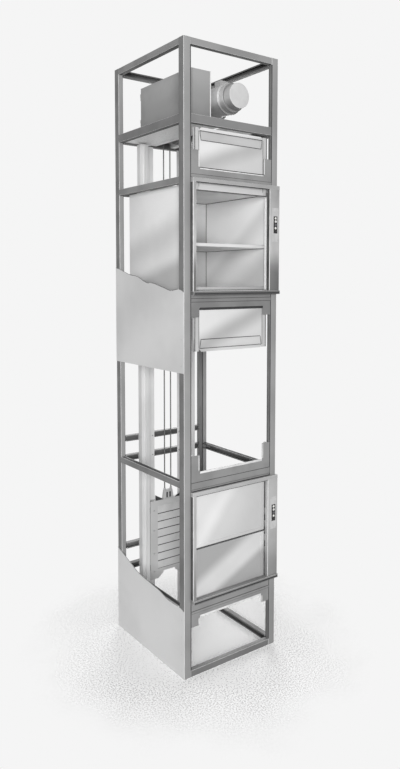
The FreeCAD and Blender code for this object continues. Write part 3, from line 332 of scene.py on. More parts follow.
class Finish(Enum):
    """Every finish on the lift."""

    # The posts' coat, with bands of painted light and shade along their height.
    FRAME = replace(POWDER, name="powder_coated_steel", sweep=POST_SWEEP)
    # A painted highlight along the folds, so that the edges show light.
    FOLD = Coating("rubbed_powder_coat_edge", "ececec", "d8d8d8", cloud=60, grain=2.0, roughness=0.35)
    # The posts' left flanges, darker as painted shade.
    FRAME_SIDE = replace(
        ROUGHER_POWDER, name="dusty_powder_coat", colour="787878", shade="6c6c6c", roughness=0.5, sweep=POST_SWEEP)
    # Painted shade on the undersides of the bars.
    FRAME_UNDER = replace(
        POWDER, name="thin_coat_underside", colour="5c5c5c", shade="525252", cloud=200, roughness=0.5)
    # The front bars' coat, with bands of painted light and shade along their height.
    BAR = replace(POWDER, name="powder_coated_bar", colour="9c9c9c", shade="909090", sweep=BAR_SWEEP)
    # The left bars' coat, darker as painted shade, with the same painted bands along their height.
    SIDE_BAR = replace(
        ROUGHER_POWDER, name="dusty_side_bar_coat", colour="8a8a8a", shade="7e7e7e", sweep=BAR_SWEEP)
    # The rear and right bars' coat, darker than the front bars'.
    REAR_BAR = replace(ROUGHER_POWDER, name="dusty_bar_coat", colour="707070", shade="606060")
    # The leaf sheet folded over the stiles, brushed upright. The same darker coat is laid in the grip band's
    # recess as painted shade, and on the right guides' faces towards the doorway.
    STILE = Coating("brushed_leaf_stile", "cacaca", "c0c0c0", cloud=300, grain=1.6, stretch=(1, 1, 40),
                    grain_tone=0.05, metallic=0.1, roughness=0.5)
    # Bright zinc plate drawn lengthwise: pale, with vertical lines about 6 mm apart.
    RAIL = Coating("zinc_plated_steel", "e8e8e8", "dcdcdc", cloud=500, grain=6.0, stretch=(1, 1, 200),
                   grain_tone=0.1, metallic=0.2, roughness=0.5)
    # Hot-dip galvanised sheet: pale grey with soft spangles about 14 mm across.
    GALVANISED = Coating("galvanised_sheet", "f8f8f8", "eaeaea", cloud=14, grain=3.0, metallic=0.35,
                         roughness=0.5)
    # Coil-coated sheet: flat pale grey, with broad bands of painted light and shade.
    CLADDING = Coating("coil_coated_sheet", "e2e2e2", "d8d8d8", cloud=700, grain=3.0, bump=0.02,
                       roughness=0.5, sweep=CLADDING_SWEEP)
    # Stainless sheet with a short vertical brushing, and bands of painted shade along its height, darkest at
    # the sills.
    SURROUND = Coating("brushed_stainless_steel", "c6c6c6", "bababa", cloud=260, grain=1.6,
                       stretch=(1, 1, 40), grain_tone=0.06, metallic=0.1, roughness=0.5,
                       sweep=SURROUND_SWEEP)
    # The same sheet down the sides of a jamb, darkened as painted shade.
    SURROUND_SIDE = Coating("sealant_rubbed_stainless", "5e5e5e", "4c4c4c", cloud=120, grain=2.0,
                            stretch=(1, 1, 20), roughness=0.5)
    # Each landing's leaves, with their own bands of painted reflection and shade.
    UPPER_LEAF = replace(LEAF, name="brushed_leaf_upper_top", sweep=UPPER_LEAF_SWEEP)
    UPPER_APRON = replace(LEAF, name="brushed_leaf_upper_bottom", sweep=UPPER_APRON_SWEEP)
    LOWER_LEAF = replace(LEAF, name="brushed_leaf_lower_top", sweep=LOWER_LEAF_SWEEP)
    LOWER_APRON = replace(LEAF, name="brushed_leaf_lower_bottom", sweep=LOWER_APRON_SWEEP)
    # Darker coated sheet of the fascias, with painted shade under the upper landing's sill.
    FASCIA = Coating("grey_coated_fascia", "969696", "8a8a8a", cloud=240, grain=2.5, bump=0.03,
                     roughness=0.46, sweep=FASCIA_SWEEP)
    # Car panels: stainless, brushed level. The walls carry bands of painted reflection and shade, and the
    # back wall's dip under the shelf is a painted shadow.
    CAR_SIDE = Coating("brushed_car_side", "f8f8f8", "f0f0f0", cloud=600, grain=1.6, stretch=(1, 40, 1),
                       grain_tone=0.04, metallic=0.06, roughness=0.54, sweep=CAR_SIDE_SWEEP)
    CAR_INNER = Coating("brushed_car_inside", "fcfcfc", "f8f8f8", cloud=600, grain=1.6,
                        stretch=(1, 40, 1), grain_tone=0.03, metallic=0.0, roughness=0.4,
                        sweep=CAR_INNER_SWEEP)
    CAR_REAR = Coating("brushed_car_rear", "fcfcfc", "f6f6f6", cloud=400, grain=1.6, stretch=(40, 1, 1),
                       grain_tone=0.04, metallic=0.1, roughness=0.45, sweep=CAR_REAR_SWEEP)
    CAR_SHELF = Coating("brushed_car_shelf", "f0f0f0", "e6e6e6", cloud=400, grain=1.6, stretch=(40, 1, 1),
                        grain_tone=0.05, metallic=0.15, roughness=0.4)
    # Grey-primed castings: a fine sandy skin.
    CASTING = Coating("primed_iron_casting", "d2d2d2", "c4c4c4", cloud=200, grain=3.5, grain_tone=0.06,
                      bump=0.08, roughness=0.6)
    # Brush-painted steel of the counterweight.
    WEIGHT = Coating("grey_painted_steel", "c6c6c6", "bababa", cloud=400, grain=3.0, bump=0.04,
                     roughness=0.5)
    # Oiled low-friction plastic of the sliding shoes.
    SLIDE = Coating("oiled_slide_plastic", "303032", "262628", cloud=40, grain=1.5, bump=0.05,
                    roughness=0.45)
    # Machined grey iron of the sheave, dulled by oil.
    SHEAVE = Coating("machined_grey_iron", "8c8c8c", "7a7a7a", cloud=60, grain=2.0, grain_tone=0.12,
                     bump=0.06, metallic=0.5, roughness=0.42)
    SHAFT = Coating("ground_steel", "c8c8c8", "b6b6b6", cloud=50, grain=0.8, stretch=(1, 20, 20),
                    grain_tone=0.08, metallic=0.9, roughness=0.24)
    # Machine enamel sprayed over castings: glossy, slightly pebbled.
    GEARBOX = Coating("machine_enamel_gearbox", "8a8a8a", "7c7c7c", cloud=80, grain=4.0, bump=0.1,
                      roughness=0.38)
    # The motor's body, with painted shade towards its underside and its top.
    MOTOR = Coating("machine_enamel_motor", "e2e2e2", "d8d8d8", cloud=90, grain=3.0, bump=0.04,
                    roughness=0.36, sweep=MOTOR_SWEEP)
    MOTOR_RING = Coating("machine_enamel_ring", "8c8c8c", "808080", cloud=90, grain=3.0, bump=0.04,
                         roughness=0.36)
    # The cowl's round side: the cap's enamel a little darker, with the motor's bands of painted shade.
    COWL_SIDE = Coating("pale_enamel_cowl_side", "d0d0d0", "c6c6c6", cloud=120, grain=3.0, bump=0.02,
                        roughness=0.42, sweep=MOTOR_SWEEP)
    COWL = Coating("pale_enamel_cowl", "dadada", "d2d2d2", cloud=120, grain=3.0, bump=0.02,
                   roughness=0.42)
    # The cabinet's coat, with painted shade darkening towards its bottom.
    CABINET = Coating("textured_cabinet_coat", "ababab", "a2a2a2", cloud=300, grain=1.4, bump=0.05,
                      roughness=0.5, sweep=CABINET_SWEEP)
    # Satin stainless plate of the push-button stations.
    STATION = Coating("satin_station_plate", "cecece", "c2c2c2", cloud=60, grain=1.0, stretch=(20, 1, 1),
                      grain_tone=0.08, metallic=0.15, roughness=0.48)
    GLOSS_BLACK = Coating("gloss_black_plastic", "161617", "1c1c1d", cloud=30, bump=0.004, roughness=0.16,
                          coat=0.3)
    LENS = Coating("opal_lamp_lens", "f0f0ec", "e4e4e0", cloud=12, bump=0.004, roughness=0.2, coat=0.4)
    BUTTON_WHITE = replace(BUTTON, name="white_button_plastic")
    BUTTON_GREY = replace(BUTTON, name="grey_button_plastic", colour="66666a", shade="5c5c60")
    BUTTON_BLACK = replace(BUTTON, name="black_button_plastic", colour="222224", shade="1c1c1e")
    # Bright zinc on small fastenings.
    ZINC = Coating("bright_zinc_fastening", "c4c4c4", "aaaaaa", cloud=8, grain=0.8, grain_tone=0.1,
                   metallic=0.8, roughness=0.32)
    # Grey sealant run along a seam.
    SEALANT = Coating("grey_seam_sealant", "5e5e5e", "545454", cloud=30, grain=1.5, bump=0.03,
                      roughness=0.55)
    # Extruded door rubber: near black, matt, with a bloom on it. The same finish makes the dark strips that
    # paint shade and shadow lines.
    RUBBER = Coating("extruded_rubber", "2a2a2b", "383839", cloud=35, grain=1.2, stretch=(30, 1, 1),
                     bump=0.06, roughness=0.72)


# The finish of each of the record's material slots, and the nodes that have one of their own.
SLOT_FINISH = {
    "frame_paint": Finish.FRAME, "rail_zinc": Finish.RAIL, "cladding_paint": Finish.CLADDING,
    "door_stainless": Finish.LOWER_LEAF, "surround_stainless": Finish.SURROUND, "fascia_paint": Finish.FASCIA,
    "car_steel": Finish.CAR_SHELF, "cast_weight": Finish.CASTING, "weight_paint": Finish.WEIGHT,
    "slide_lining": Finish.SLIDE, "sheave_iron": Finish.SHEAVE, "shaft_steel": Finish.SHAFT,
    "gearbox_paint": Finish.GEARBOX, "motor_paint": Finish.MOTOR, "cowl_paint": Finish.COWL,
    "cabinet_paint": Finish.CABINET, "station_steel": Finish.STATION, "station_black": Finish.GLOSS_BLACK,
    "lamp_white": Finish.LENS, "button_white": Finish.BUTTON_WHITE, "button_grey": Finish.BUTTON_GREY,
    "button_black": Finish.BUTTON_BLACK,
}
NODE_FINISH = {
    "upper_landing_top_leaf": Finish.UPPER_LEAF, "upper_landing_bottom_leaf": Finish.UPPER_APRON,
    "lower_landing_top_leaf": Finish.LOWER_LEAF, "lower_landing_bottom_leaf": Finish.LOWER_APRON,
    "car_left_wall": Finish.CAR_SIDE, "car_right_wall": Finish.CAR_INNER,
    "car_back_wall": Finish.CAR_REAR, "front_crossbars": Finish.BAR, "left_crossbars": Finish.SIDE_BAR,
    "rear_crossbars": Finish.REAR_BAR, "right_crossbars": Finish.REAR_BAR,
    "door_guides": Finish.GALVANISED, "machine_floor_plate": Finish.GALVANISED,
    "machine_bed": Finish.GALVANISED,
}
NODE_SLOT = {row["node"]: row["material_slot"] for row in frame["record"]["subparts"]}
NODE_BODY = {node: body for body, nodes in frame["record"]["behaviour"]["bodies"].items() for node in nodes}
SMOOTH_BELOW = math.radians(32)


def set_shading(mesh: bmesh.types.BMesh) -> None:
    """Shades a mesh smooth, with its edges sharp where two faces turn by SMOOTH_BELOW or more.

    Args:
        mesh: The mesh.
    """
    for face in mesh.faces:
        face.smooth = True
    for edge in mesh.edges:
        edge.smooth = len(edge.link_faces) == 2 and edge.calc_face_angle(0.0) < SMOOTH_BELOW


def place(
        mesh: bmesh.types.BMesh, name: str, finishes: list[Finish], body: str | None) -> bpy.types.Object:
    """Makes an object of a mesh and puts it on its body.

    Args:
        mesh: The shape, in scene metres. It is freed.
        name: Name of the piece.
        finishes: Its finishes, in the order of the faces' material numbers.
        body: The moving body it rides on, or none for a piece that stretches between two.

    Returns:
        The new object.
    """
    set_shading(mesh)
    data = bpy.data.meshes.new(name)
    mesh.to_mesh(data)
    mesh.free()
    for finish in finishes:
        data.materials.append(finish.value.material())
    piece = add_object(name, data)
    if body:
        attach(piece, body)
    LOG.info("%s: %d faces on %s", name, len(data.polygons), body or "two bodies")
    return piece


class Shape:
    """A small piece in the making, drawn in millimetres on the lift."""

    def __init__(self) -> None:
        """Starts with an empty mesh."""
        self.mesh = bmesh.new()

    def ease(self, verts: list[bmesh.types.BMVert], soft: float, steps: int = 2) -> None:
        """Rounds the sharp edges between some vertices.

        Args:
            verts: The vertices.
            soft: Width of the rounding in millimetres. Zero leaves them sharp.
            steps: Faces across each rounding.
        """
        if soft <= 0:
            return
        chosen = set(verts)
        edges = [e for e in self.mesh.edges if chosen.issuperset(e.verts) and e.calc_face_angle(0.0) > 0.6]
        bmesh.ops.bevel(
            self.mesh, geom=edges, offset=soft, offset_type="OFFSET", segments=steps, profile=0.5,
            affect="EDGES", clamp_overlap=True, material=-1)

    def block(self, corner: Point, opposite: Point, soft: float = 0.0) -> "Shape":
        """Adds a block between two corners.

        Args:
            corner: Any corner.
            opposite: The one across the block from it.
            soft: Rounding of its edges.

        Returns:
            This shape.
        """
        low, high = (Vector(ends) for ends in zip(*map(sorted, zip(corner, opposite))))
        verts = bmesh.ops.create_cube(self.mesh, size=1.0)["verts"]
        bmesh.ops.scale(self.mesh, vec=high - low, verts=verts)
        bmesh.ops.translate(self.mesh, vec=(low + high) / 2, verts=verts)
        self.ease(verts, soft)
        return self

    def rod(self, start: Point, end: Point, radius: float, sides: int = 20, soft: float = 0.0,
            end_radius: float | None = None) -> "Shape":
        """Adds a round bar, a cone or, with six sides, a bolt head.

        Args:
            start: Centre of one end.
            end: Centre of the other.
            radius: At the start.
            sides: Faces round it.
            soft: Rounding of its rims.
            end_radius: At the end, where it differs.

        Returns:
            This shape.
        """
        along = Vector(end) - Vector(start)
        turn = Vector((0, 0, 1)).rotation_difference(along).to_matrix().to_4x4()
        middle = Matrix.Translation((Vector(start) + Vector(end)) / 2)
        verts = bmesh.ops.create_cone(
            self.mesh, cap_ends=True, segments=sides, radius1=radius,
            radius2=radius if end_radius is None else end_radius, depth=along.length,
            matrix=middle @ turn)["verts"]
        self.ease(verts, soft)
        return self

    def ring(self, centre: Point, axis: Point, radius: float, thickness: float, steps: int = 32,
             sides: int = 8) -> "Shape":
        """Adds a ring of round section.

        Args:
            centre: Its centre.
            axis: Direction of its axis.
            radius: To the middle of its section.
            thickness: Radius of its section.
            steps: Sections round it.
            sides: Faces round a section.

        Returns:
            This shape.
        """
        turn = Vector((0, 0, 1)).rotation_difference(Vector(axis)).to_matrix().to_4x4()
        upright = Matrix.Translation((radius, 0, 0)) @ Matrix.Rotation(math.pi / 2, 4, "X")
        made = bmesh.ops.create_circle(
            self.mesh, cap_ends=False, segments=sides, radius=thickness,
            matrix=Matrix.Translation(centre) @ turn @ upright)["verts"]
        edges = list({edge for vert in made for edge in vert.link_edges})
        bmesh.ops.spin(
            self.mesh, geom=made + edges, cent=centre, axis=axis, angle=math.tau, steps=steps, use_merge=True,
            use_duplicate=False)
        return self

    def bolt(self, seat: Point, out: Point, size: float = 8.0) -> "Shape":
        """Adds a washer and a hexagon head that stand on a face.

        Args:
            seat: Centre of the washer on the face.
            out: Direction away from the face.
            size: Thread diameter.

        Returns:
            This shape.
        """
        base, away = Vector(seat), Vector(out).normalized()
        washer, top = base + away * size * 0.2, base + away * size * 0.85
        self.rod(base, washer, size * 1.05, 18, 0.25)
        return self.rod(washer, top, size * 0.92, 6, size * 0.09)

    def prism(self, outline: list[tuple[float, float]], front: float, back: float) -> "Shape":
        """Adds a flat plate with a straight-sided outline, standing along x and z.

        Args:
            outline: Its corners as x and z.
            front: Its lowest y.
            back: Its highest y.

        Returns:
            This shape.
        """
        corners = [self.mesh.verts.new((x, front, z)) for x, z in outline]
        face = bmesh.ops.contextual_create(self.mesh, geom=corners)["faces"]
        made = bmesh.ops.extrude_face_region(self.mesh, geom=face)["geom"]
        verts = [item for item in made if isinstance(item, bmesh.types.BMVert)]
        bmesh.ops.translate(self.mesh, vec=(0, back - front, 0), verts=verts)
        return self

    def louvre(self, x: float, start: float, stop: float, z: float) -> "Shape":
        """Adds a hooded slot on a face that looks right.

        Args:
            x: The face.
            start: Lowest y of the slot.
            stop: Highest y.
            z: Its lower edge.

        Returns:
            This shape.
        """
        verts = bmesh.ops.create_cube(self.mesh, size=1.0)["verts"]
        bmesh.ops.scale(self.mesh, vec=(7, stop - start, 12), verts=verts)
        bmesh.ops.translate(self.mesh, vec=(x + 3.4, (start + stop) / 2, z + 6), verts=verts)
        top = [vert for vert in verts if vert.co.z > z + 6 and vert.co.x > x + 3]
        bmesh.ops.translate(self.mesh, vec=(-5.5, 0, 0), verts=top)
        ends = [vert for vert in verts if vert.co.x > x + 0.5]
        bmesh.ops.scale(
            self.mesh, vec=(1, 0.94, 1), space=Matrix.Translation((0, -(start + stop) / 2, 0)), verts=ends)
        self.ease(verts, 1.2)
        return self

    def mirror(self) -> "Shape":
        """Adds the same shape on the other side of the lift.

        Returns:
            This shape.
        """
        whole = [*self.mesh.verts, *self.mesh.edges, *self.mesh.faces]
        made = bmesh.ops.duplicate(self.mesh, geom=whole)["geom"]
        verts = [item for item in made if isinstance(item, bmesh.types.BMVert)]
        faces = [item for item in made if isinstance(item, bmesh.types.BMFace)]
        bmesh.ops.scale(self.mesh, vec=(-1, 1, 1), space=Matrix.Translation((-CENTRE_X, 0, 0)), verts=verts)
        bmesh.ops.reverse_faces(self.mesh, faces=faces)
        return self

    def piece(
            self, name: str, finish: Finish, body: str = "structure",
            slot: str | None = None) -> bpy.types.Object:
        """Turns the shape into an object on a body.

        Args:
            name: Name of the piece.
            finish: Its finish.
            body: The body it rides on.
            slot: The record's material slot, if it takes one; not used.

        Returns:
            The object.
        """
        bmesh.ops.recalc_face_normals(self.mesh, faces=self.mesh.faces)
        bmesh.ops.translate(self.mesh, vec=-MIDDLE, verts=self.mesh.verts)
        bmesh.ops.scale(self.mesh, vec=(MM, MM, MM), verts=self.mesh.verts)
        return place(self.mesh, name, [finish], body)


@dataclass
class Folded:
    """A node remade with the rounded folds and broken edges of real sheet and castings.

    Attributes:
        node: The node it stands for.
        fold: Outside radius of a fold between two wide faces, in millimetres.
        rim: Rounding of every other edge.
        wide: A face at least this wide counts as wide.
        worn: Finish of the folds, where it differs: a painted highlight.
        cuts: The x of cuts across the wide faces, where a coat ends.
        coats: Other finishes, each with a test of a face's middle, in millimetres, and direction.
    """

    node: str
    fold: float = 3.5
    rim: float = 0.7
    wide: float = 14.0
    worn: Finish | None = None
    cuts: tuple[float, ...] = ()
    coats: tuple[tuple[Finish, Callable[[Vector, Vector], bool]], ...] = ()

    def build(self) -> bpy.types.Object:
        """Makes the piece that stands for the node.

        Returns:
            The piece.
        """
        mesh = node_mesh(self.node)
        bmesh.ops.dissolve_limit(
            mesh, angle_limit=math.radians(0.5), verts=mesh.verts, edges=mesh.edges,
            use_dissolve_boundaries=False)
        for face in mesh.faces:
            face.material_index = 0
        if self.fold:
            folds = [edge for edge in mesh.edges if self.turns(edge) and self.breadth(edge) > self.wide * MM]
            made = self.bevel(mesh, folds, self.fold, 3)
            # The folds take the painted highlight finish, where one is given.
            if self.worn:
                for face in made:
                    face.material_index = 1
        self.bevel(mesh, [edge for edge in mesh.edges if self.turns(edge)], self.rim, 1)
        for cut in self.cuts:
            bmesh.ops.bisect_plane(
                mesh, geom=[*mesh.verts, *mesh.edges, *mesh.faces], dist=WELD,
                plane_co=at(cut, 0, 0), plane_no=(1, 0, 0))
        slot = NODE_SLOT[self.node]
        finishes = [NODE_FINISH.get(self.node, SLOT_FINISH[slot])] + ([self.worn] if self.worn else [])
        for finish, covers in self.coats:
            for face in mesh.faces:
                if covers(face.calc_center_median() / MM + MIDDLE, face.normal):
                    face.material_index = len(finishes)
            finishes.append(finish)
        piece = place(mesh, self.node + ".folded", finishes, NODE_BODY[self.node])
        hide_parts(self.node)
        return piece

    @staticmethod
    def turns(edge: bmesh.types.BMEdge) -> bool:
        """Tells whether an edge is a convex corner.

        Args:
            edge: The edge.

        Returns:
            True for a corner that is rounded.
        """
        return edge.is_manifold and edge.is_convex and edge.calc_face_angle(0.0) > math.radians(40)

    @staticmethod
    def breadth(edge: bmesh.types.BMEdge) -> float:
        """Measures the narrower of an edge's two faces, away from the edge.

        Args:
            edge: The edge.

        Returns:
            That width in metres.
        """
        return min(face.calc_area() for face in edge.link_faces) / max(edge.calc_length(), 1e-6)

    @staticmethod
    def bevel(
            mesh: bmesh.types.BMesh, edges: list[bmesh.types.BMEdge], width: float,
            steps: int) -> list[bmesh.types.BMFace]:
        """Rounds some edges.

        Args:
            mesh: The mesh.
            edges: Its edges to round.
            width: Width of the rounding in millimetres.
            steps: Faces across it.

        Returns:
            The new faces.
        """
        return bmesh.ops.bevel(
            mesh, geom=edges, offset=width * MM, offset_type="OFFSET", segments=steps, profile=0.5,
            affect="EDGES", clamp_overlap=True, material=-1)["faces"]


@dataclass
class Structure:
    """Posts, crossbars, machine floor, cladding and what holds them together.

    Attributes:
        posts: Nodes of the four posts.
        bars: Nodes of the crossbars.
        width: Between the posts' outer faces, along x.
        depth: The same, along y.
        flange: Width of a post's flanges.
        rings: Heights of the crossbars' tops, without the machine floor's.
        cleat_inset: Distance of a cleat's outer face from the posts' outer side.
        cleat_face: Distance of its inner face.
        cleat_length: Its length along the bar.
        cleat_bolt_places: Distances of its bolts from the post's flange.
        anchor_xs: The x of the floor anchors.
        anchor_ys: Their y.
        front_rivets: Heights of the rivets on the cladding's front edge.
        rear_rivets: The same on its rear edge.
        rivet_inset: Distance of both rows from the frame's front and rear.
        edging_radius: Radius of the rubber on the cladding's cut edges.
    """

    posts: tuple[str, ...] = ("front_left_post", "front_right_post", "rear_left_post", "rear_right_post")
    bars: tuple[str, ...] = ("front_crossbars", "rear_crossbars", "left_crossbars", "right_crossbars")
    width: float = 1020.0
    depth: float = 1136.0
    flange: float = 72.0
    rings: tuple[float, ...] = (612.0, 1695.0, 3232.0, 4240.0, 5350.0)
    cleat_inset: float = 4.0
    cleat_face: float = 9.0
    cleat_length: float = 70.0
    cleat_bolt_places: tuple[float, ...] = (22.0, 52.0)
    anchor_xs: tuple[float, ...] = (150.0, 870.0)
    anchor_ys: tuple[float, ...] = (24.0, 1112.0)
    front_rivets: tuple[float, ...] = (60.0, 210.0, 360.0, 510.0, 2680.0, 2900.0, 3120.0)
    rear_rivets: tuple[float, ...] = (60.0, 250.0, 440.0, 630.0, 2680.0, 2900.0, 3120.0, 3340.0)
    rivet_inset: float = 36.0
    edging_radius: float = 1.7

    def build(self) -> None:
        """Folds the frame's edges and adds its cleats, anchors and rivets."""
        for node in self.posts:
            # The posts' left-facing faces take the darker coat as painted shade; their folds take the painted
            # highlight.
            Folded(
                node, fold=7.0, wide=24.0, worn=Finish.FOLD,
                coats=((Finish.FRAME_SIDE, lambda _, turn: turn.x < -0.9),)).build()
        for node in self.bars:
            # The bars' undersides take a dark coat as painted shade; their folds take the painted highlight.
            Folded(
                node, fold=4.5, wide=30.0, worn=Finish.FOLD,
                coats=((Finish.FRAME_UNDER, lambda _, turn: turn.z < -0.9),)).build()
        Folded("machine_floor_plate", fold=0).build()
        for node in ("upper_side_cladding", "lower_side_cladding"):
            Folded(node, fold=0, rim=0.8).build()
            self.cut_edge(node)
        self.cleats().piece("frame_joint_cleats", Finish.FRAME, slot="frame_paint")
        self.cleat_bolts().piece("frame_joint_bolts", Finish.ZINC)
        self.anchors().piece("floor_anchor_bolts", Finish.ZINC)
        self.rivets().piece("cladding_rivets", Finish.ZINC)
        self.edge_seals().piece("post_edge_seals", Finish.RUBBER)
        self.bar_seals().piece("bar_top_seals", Finish.RUBBER)

    def cut_edge(self, node: str) -> None:
        """Runs a slim rubber edging along a cladding sheet's cut edges, on its outer face.

        Args:
            node: The sheet.
        """
        mesh = node_mesh(node)
        outer = min(vert.co.x for vert in mesh.verts)
        seat = Vector((0.4, 0, -1.6))
        shape = Shape()
        for edge in mesh.edges:
            start, stop = sorted((vert.co / MM + MIDDLE for vert in edge.verts), key=lambda spot: spot.y)
            corner = edge.calc_face_angle(0.0) > 1.0
            sloping = stop.y - start.y > 2.0 and abs(stop.z - start.z) > 0.5
            if corner and sloping and max(vert.co.x for vert in edge.verts) < outer + 0.5 * MM:
                shape.rod(start + seat, stop + seat, self.edging_radius, 8)
        mesh.free()
        shape.piece(f"{node}_edging", Finish.RUBBER)

    def edge_seals(self) -> Shape:
        """A dark strip down the inner edge of each front post's flange, which paints the shade line there."""
        return Shape().block((self.flange - 6.5, -1.0, 60), (self.flange + 0.6, 1.5, 5290), 0.6).mirror()

    def bar_seals(self) -> Shape:
        """Dark strips along the tops of the side bars, which darken the bars' tops."""
        shape = Shape()
        for top in self.rings[:-1]:
            shape.block((10, self.flange + 3, top - 0.2), (38, self.depth - self.flange - 3, top + 1.2), 0.5)
        return shape.mirror()

    def corners(self) -> list[tuple[float, int, float, int]]:
        """The four posts' corners, each with its directions inwards along x and y."""
        sides, ends = ((0.0, 1), (self.width, -1)), ((0.0, 1), (self.depth, -1))
        return [(x, dx, y, dy) for x, dx in sides for y, dy in ends]

    def bar_tops(self) -> tuple[float, ...]:
        """Heights of every ring's top and of the machine floor's."""
        return self.rings + (MACHINE_FLOOR,)

    def cleats(self) -> Shape:
        """Small plates inside each side bar's end, against the post's lip."""
        shape = Shape()
        for x, dx, y, dy in self.corners():
            start = y + dy * self.flange
            for top in self.bar_tops():
                shape.block(
                    (x + dx * self.cleat_inset, start, top - 46),
                    (x + dx * self.cleat_face, start + dy * self.cleat_length, top - 9), 0.8)
        return shape

    def cleat_bolts(self) -> Shape:
        """Two bolts through each cleat."""
        shape = Shape()
        for x, dx, y, dy in self.corners():
            for top in self.bar_tops():
                for along in self.cleat_bolt_places:
                    seat = (x + dx * self.cleat_face, y + dy * (self.flange + along), top - 27.5)
                    shape.bolt(seat, (dx, 0, 0), 8)
        return shape

    def anchors(self) -> Shape:
        """Stud, washer and nut of each floor anchor, inside the base bars."""
        shape = Shape()
        for x in self.anchor_xs:
            for y in self.anchor_ys:
                shape.rod((x, y, 0.2), (x, y, 30), 5.9, 16, 0.6)
                shape.rod((x, y, 3.05), (x, y, 5.5), 12, 24, 0.4)
                shape.rod((x, y, 5.5), (x, y, 15.5), 10.6, 6, 0.9)
        return shape

    def rivets(self) -> Shape:
        """Flat rivets down the cladding's two edges."""
        shape = Shape()
        rear = self.depth - self.rivet_inset
        for y, heights in ((self.rivet_inset, self.front_rivets), (rear, self.rear_rivets)):
            for z in heights:
                shape.rod((-3.0, y, z), (-1.8, y, z), 3.6, 14, 0.0, 4.8)
        return shape


@dataclass
class Guideway:
    """Guide rails, their brackets, joint plates and clips.

    Attributes:
        brackets: Heights of the clip bolts, one pair at each bracket.
        joint: Height of the middle of the rails' joint plates.
        clip_xs: The x of a pair of clip bolts on the left rail.
        plate_bolts: Heights of a joint plate's bolts from its middle.
    """

    brackets: tuple[float, ...] = (584.5, 794.5, 1667.5, 1857.5, 3204.5, 4212.5)
    joint: float = 2500.0
    clip_xs: tuple[float, ...] = (311.0, 352.0)
    plate_bolts: tuple[float, ...] = (-65.0, -25.0, 25.0, 65.0)

    def build(self) -> None:
        """Builds the rails' folded pieces and their fastenings."""
        for node in ("left_guide_rail", "right_guide_rail"):
            Folded(node, fold=2.5, rim=0.6).build()
        Folded("rail_brackets", fold=0, rim=1.2).build()
        bolts = Shape()
        for z in self.brackets:
            for x in self.clip_xs:
                bolts.bolt((x, 1059.0, z), (0, -1, 0), 7)
        bolts.mirror().piece("rail_clip_bolts", Finish.ZINC)
        plates = Shape().block((300, 1062, self.joint - 90), (366, 1068, self.joint + 90), 1.0)
        for shift in self.plate_bolts:
            plates.bolt((333, 1068, self.joint + shift), (0, 1, 0), 8)
        plates.mirror().piece("rail_joint_plates", Finish.ZINC, slot="rail_zinc")


class Level(Enum):
    """The two landings: sill height, how far each leaf is open, and whether the leaves have a grip band."""

    LOWER = (680.0, 0.0, False)
    UPPER = (3300.0, 410.0, True)

    @property
    def sill(self) -> float:
        """Height of the sill."""
        return self.value[0]

    @property
    def opened(self) -> float:
        """Distance of each leaf from its closed place."""
        return self.value[1]

    @property
    def gripped(self) -> bool:
        """Whether the leaves have a grip band."""
        return self.value[2]

    @property
    def word(self) -> str:
        """The landing's name in piece and node names."""
        return self.name.lower()


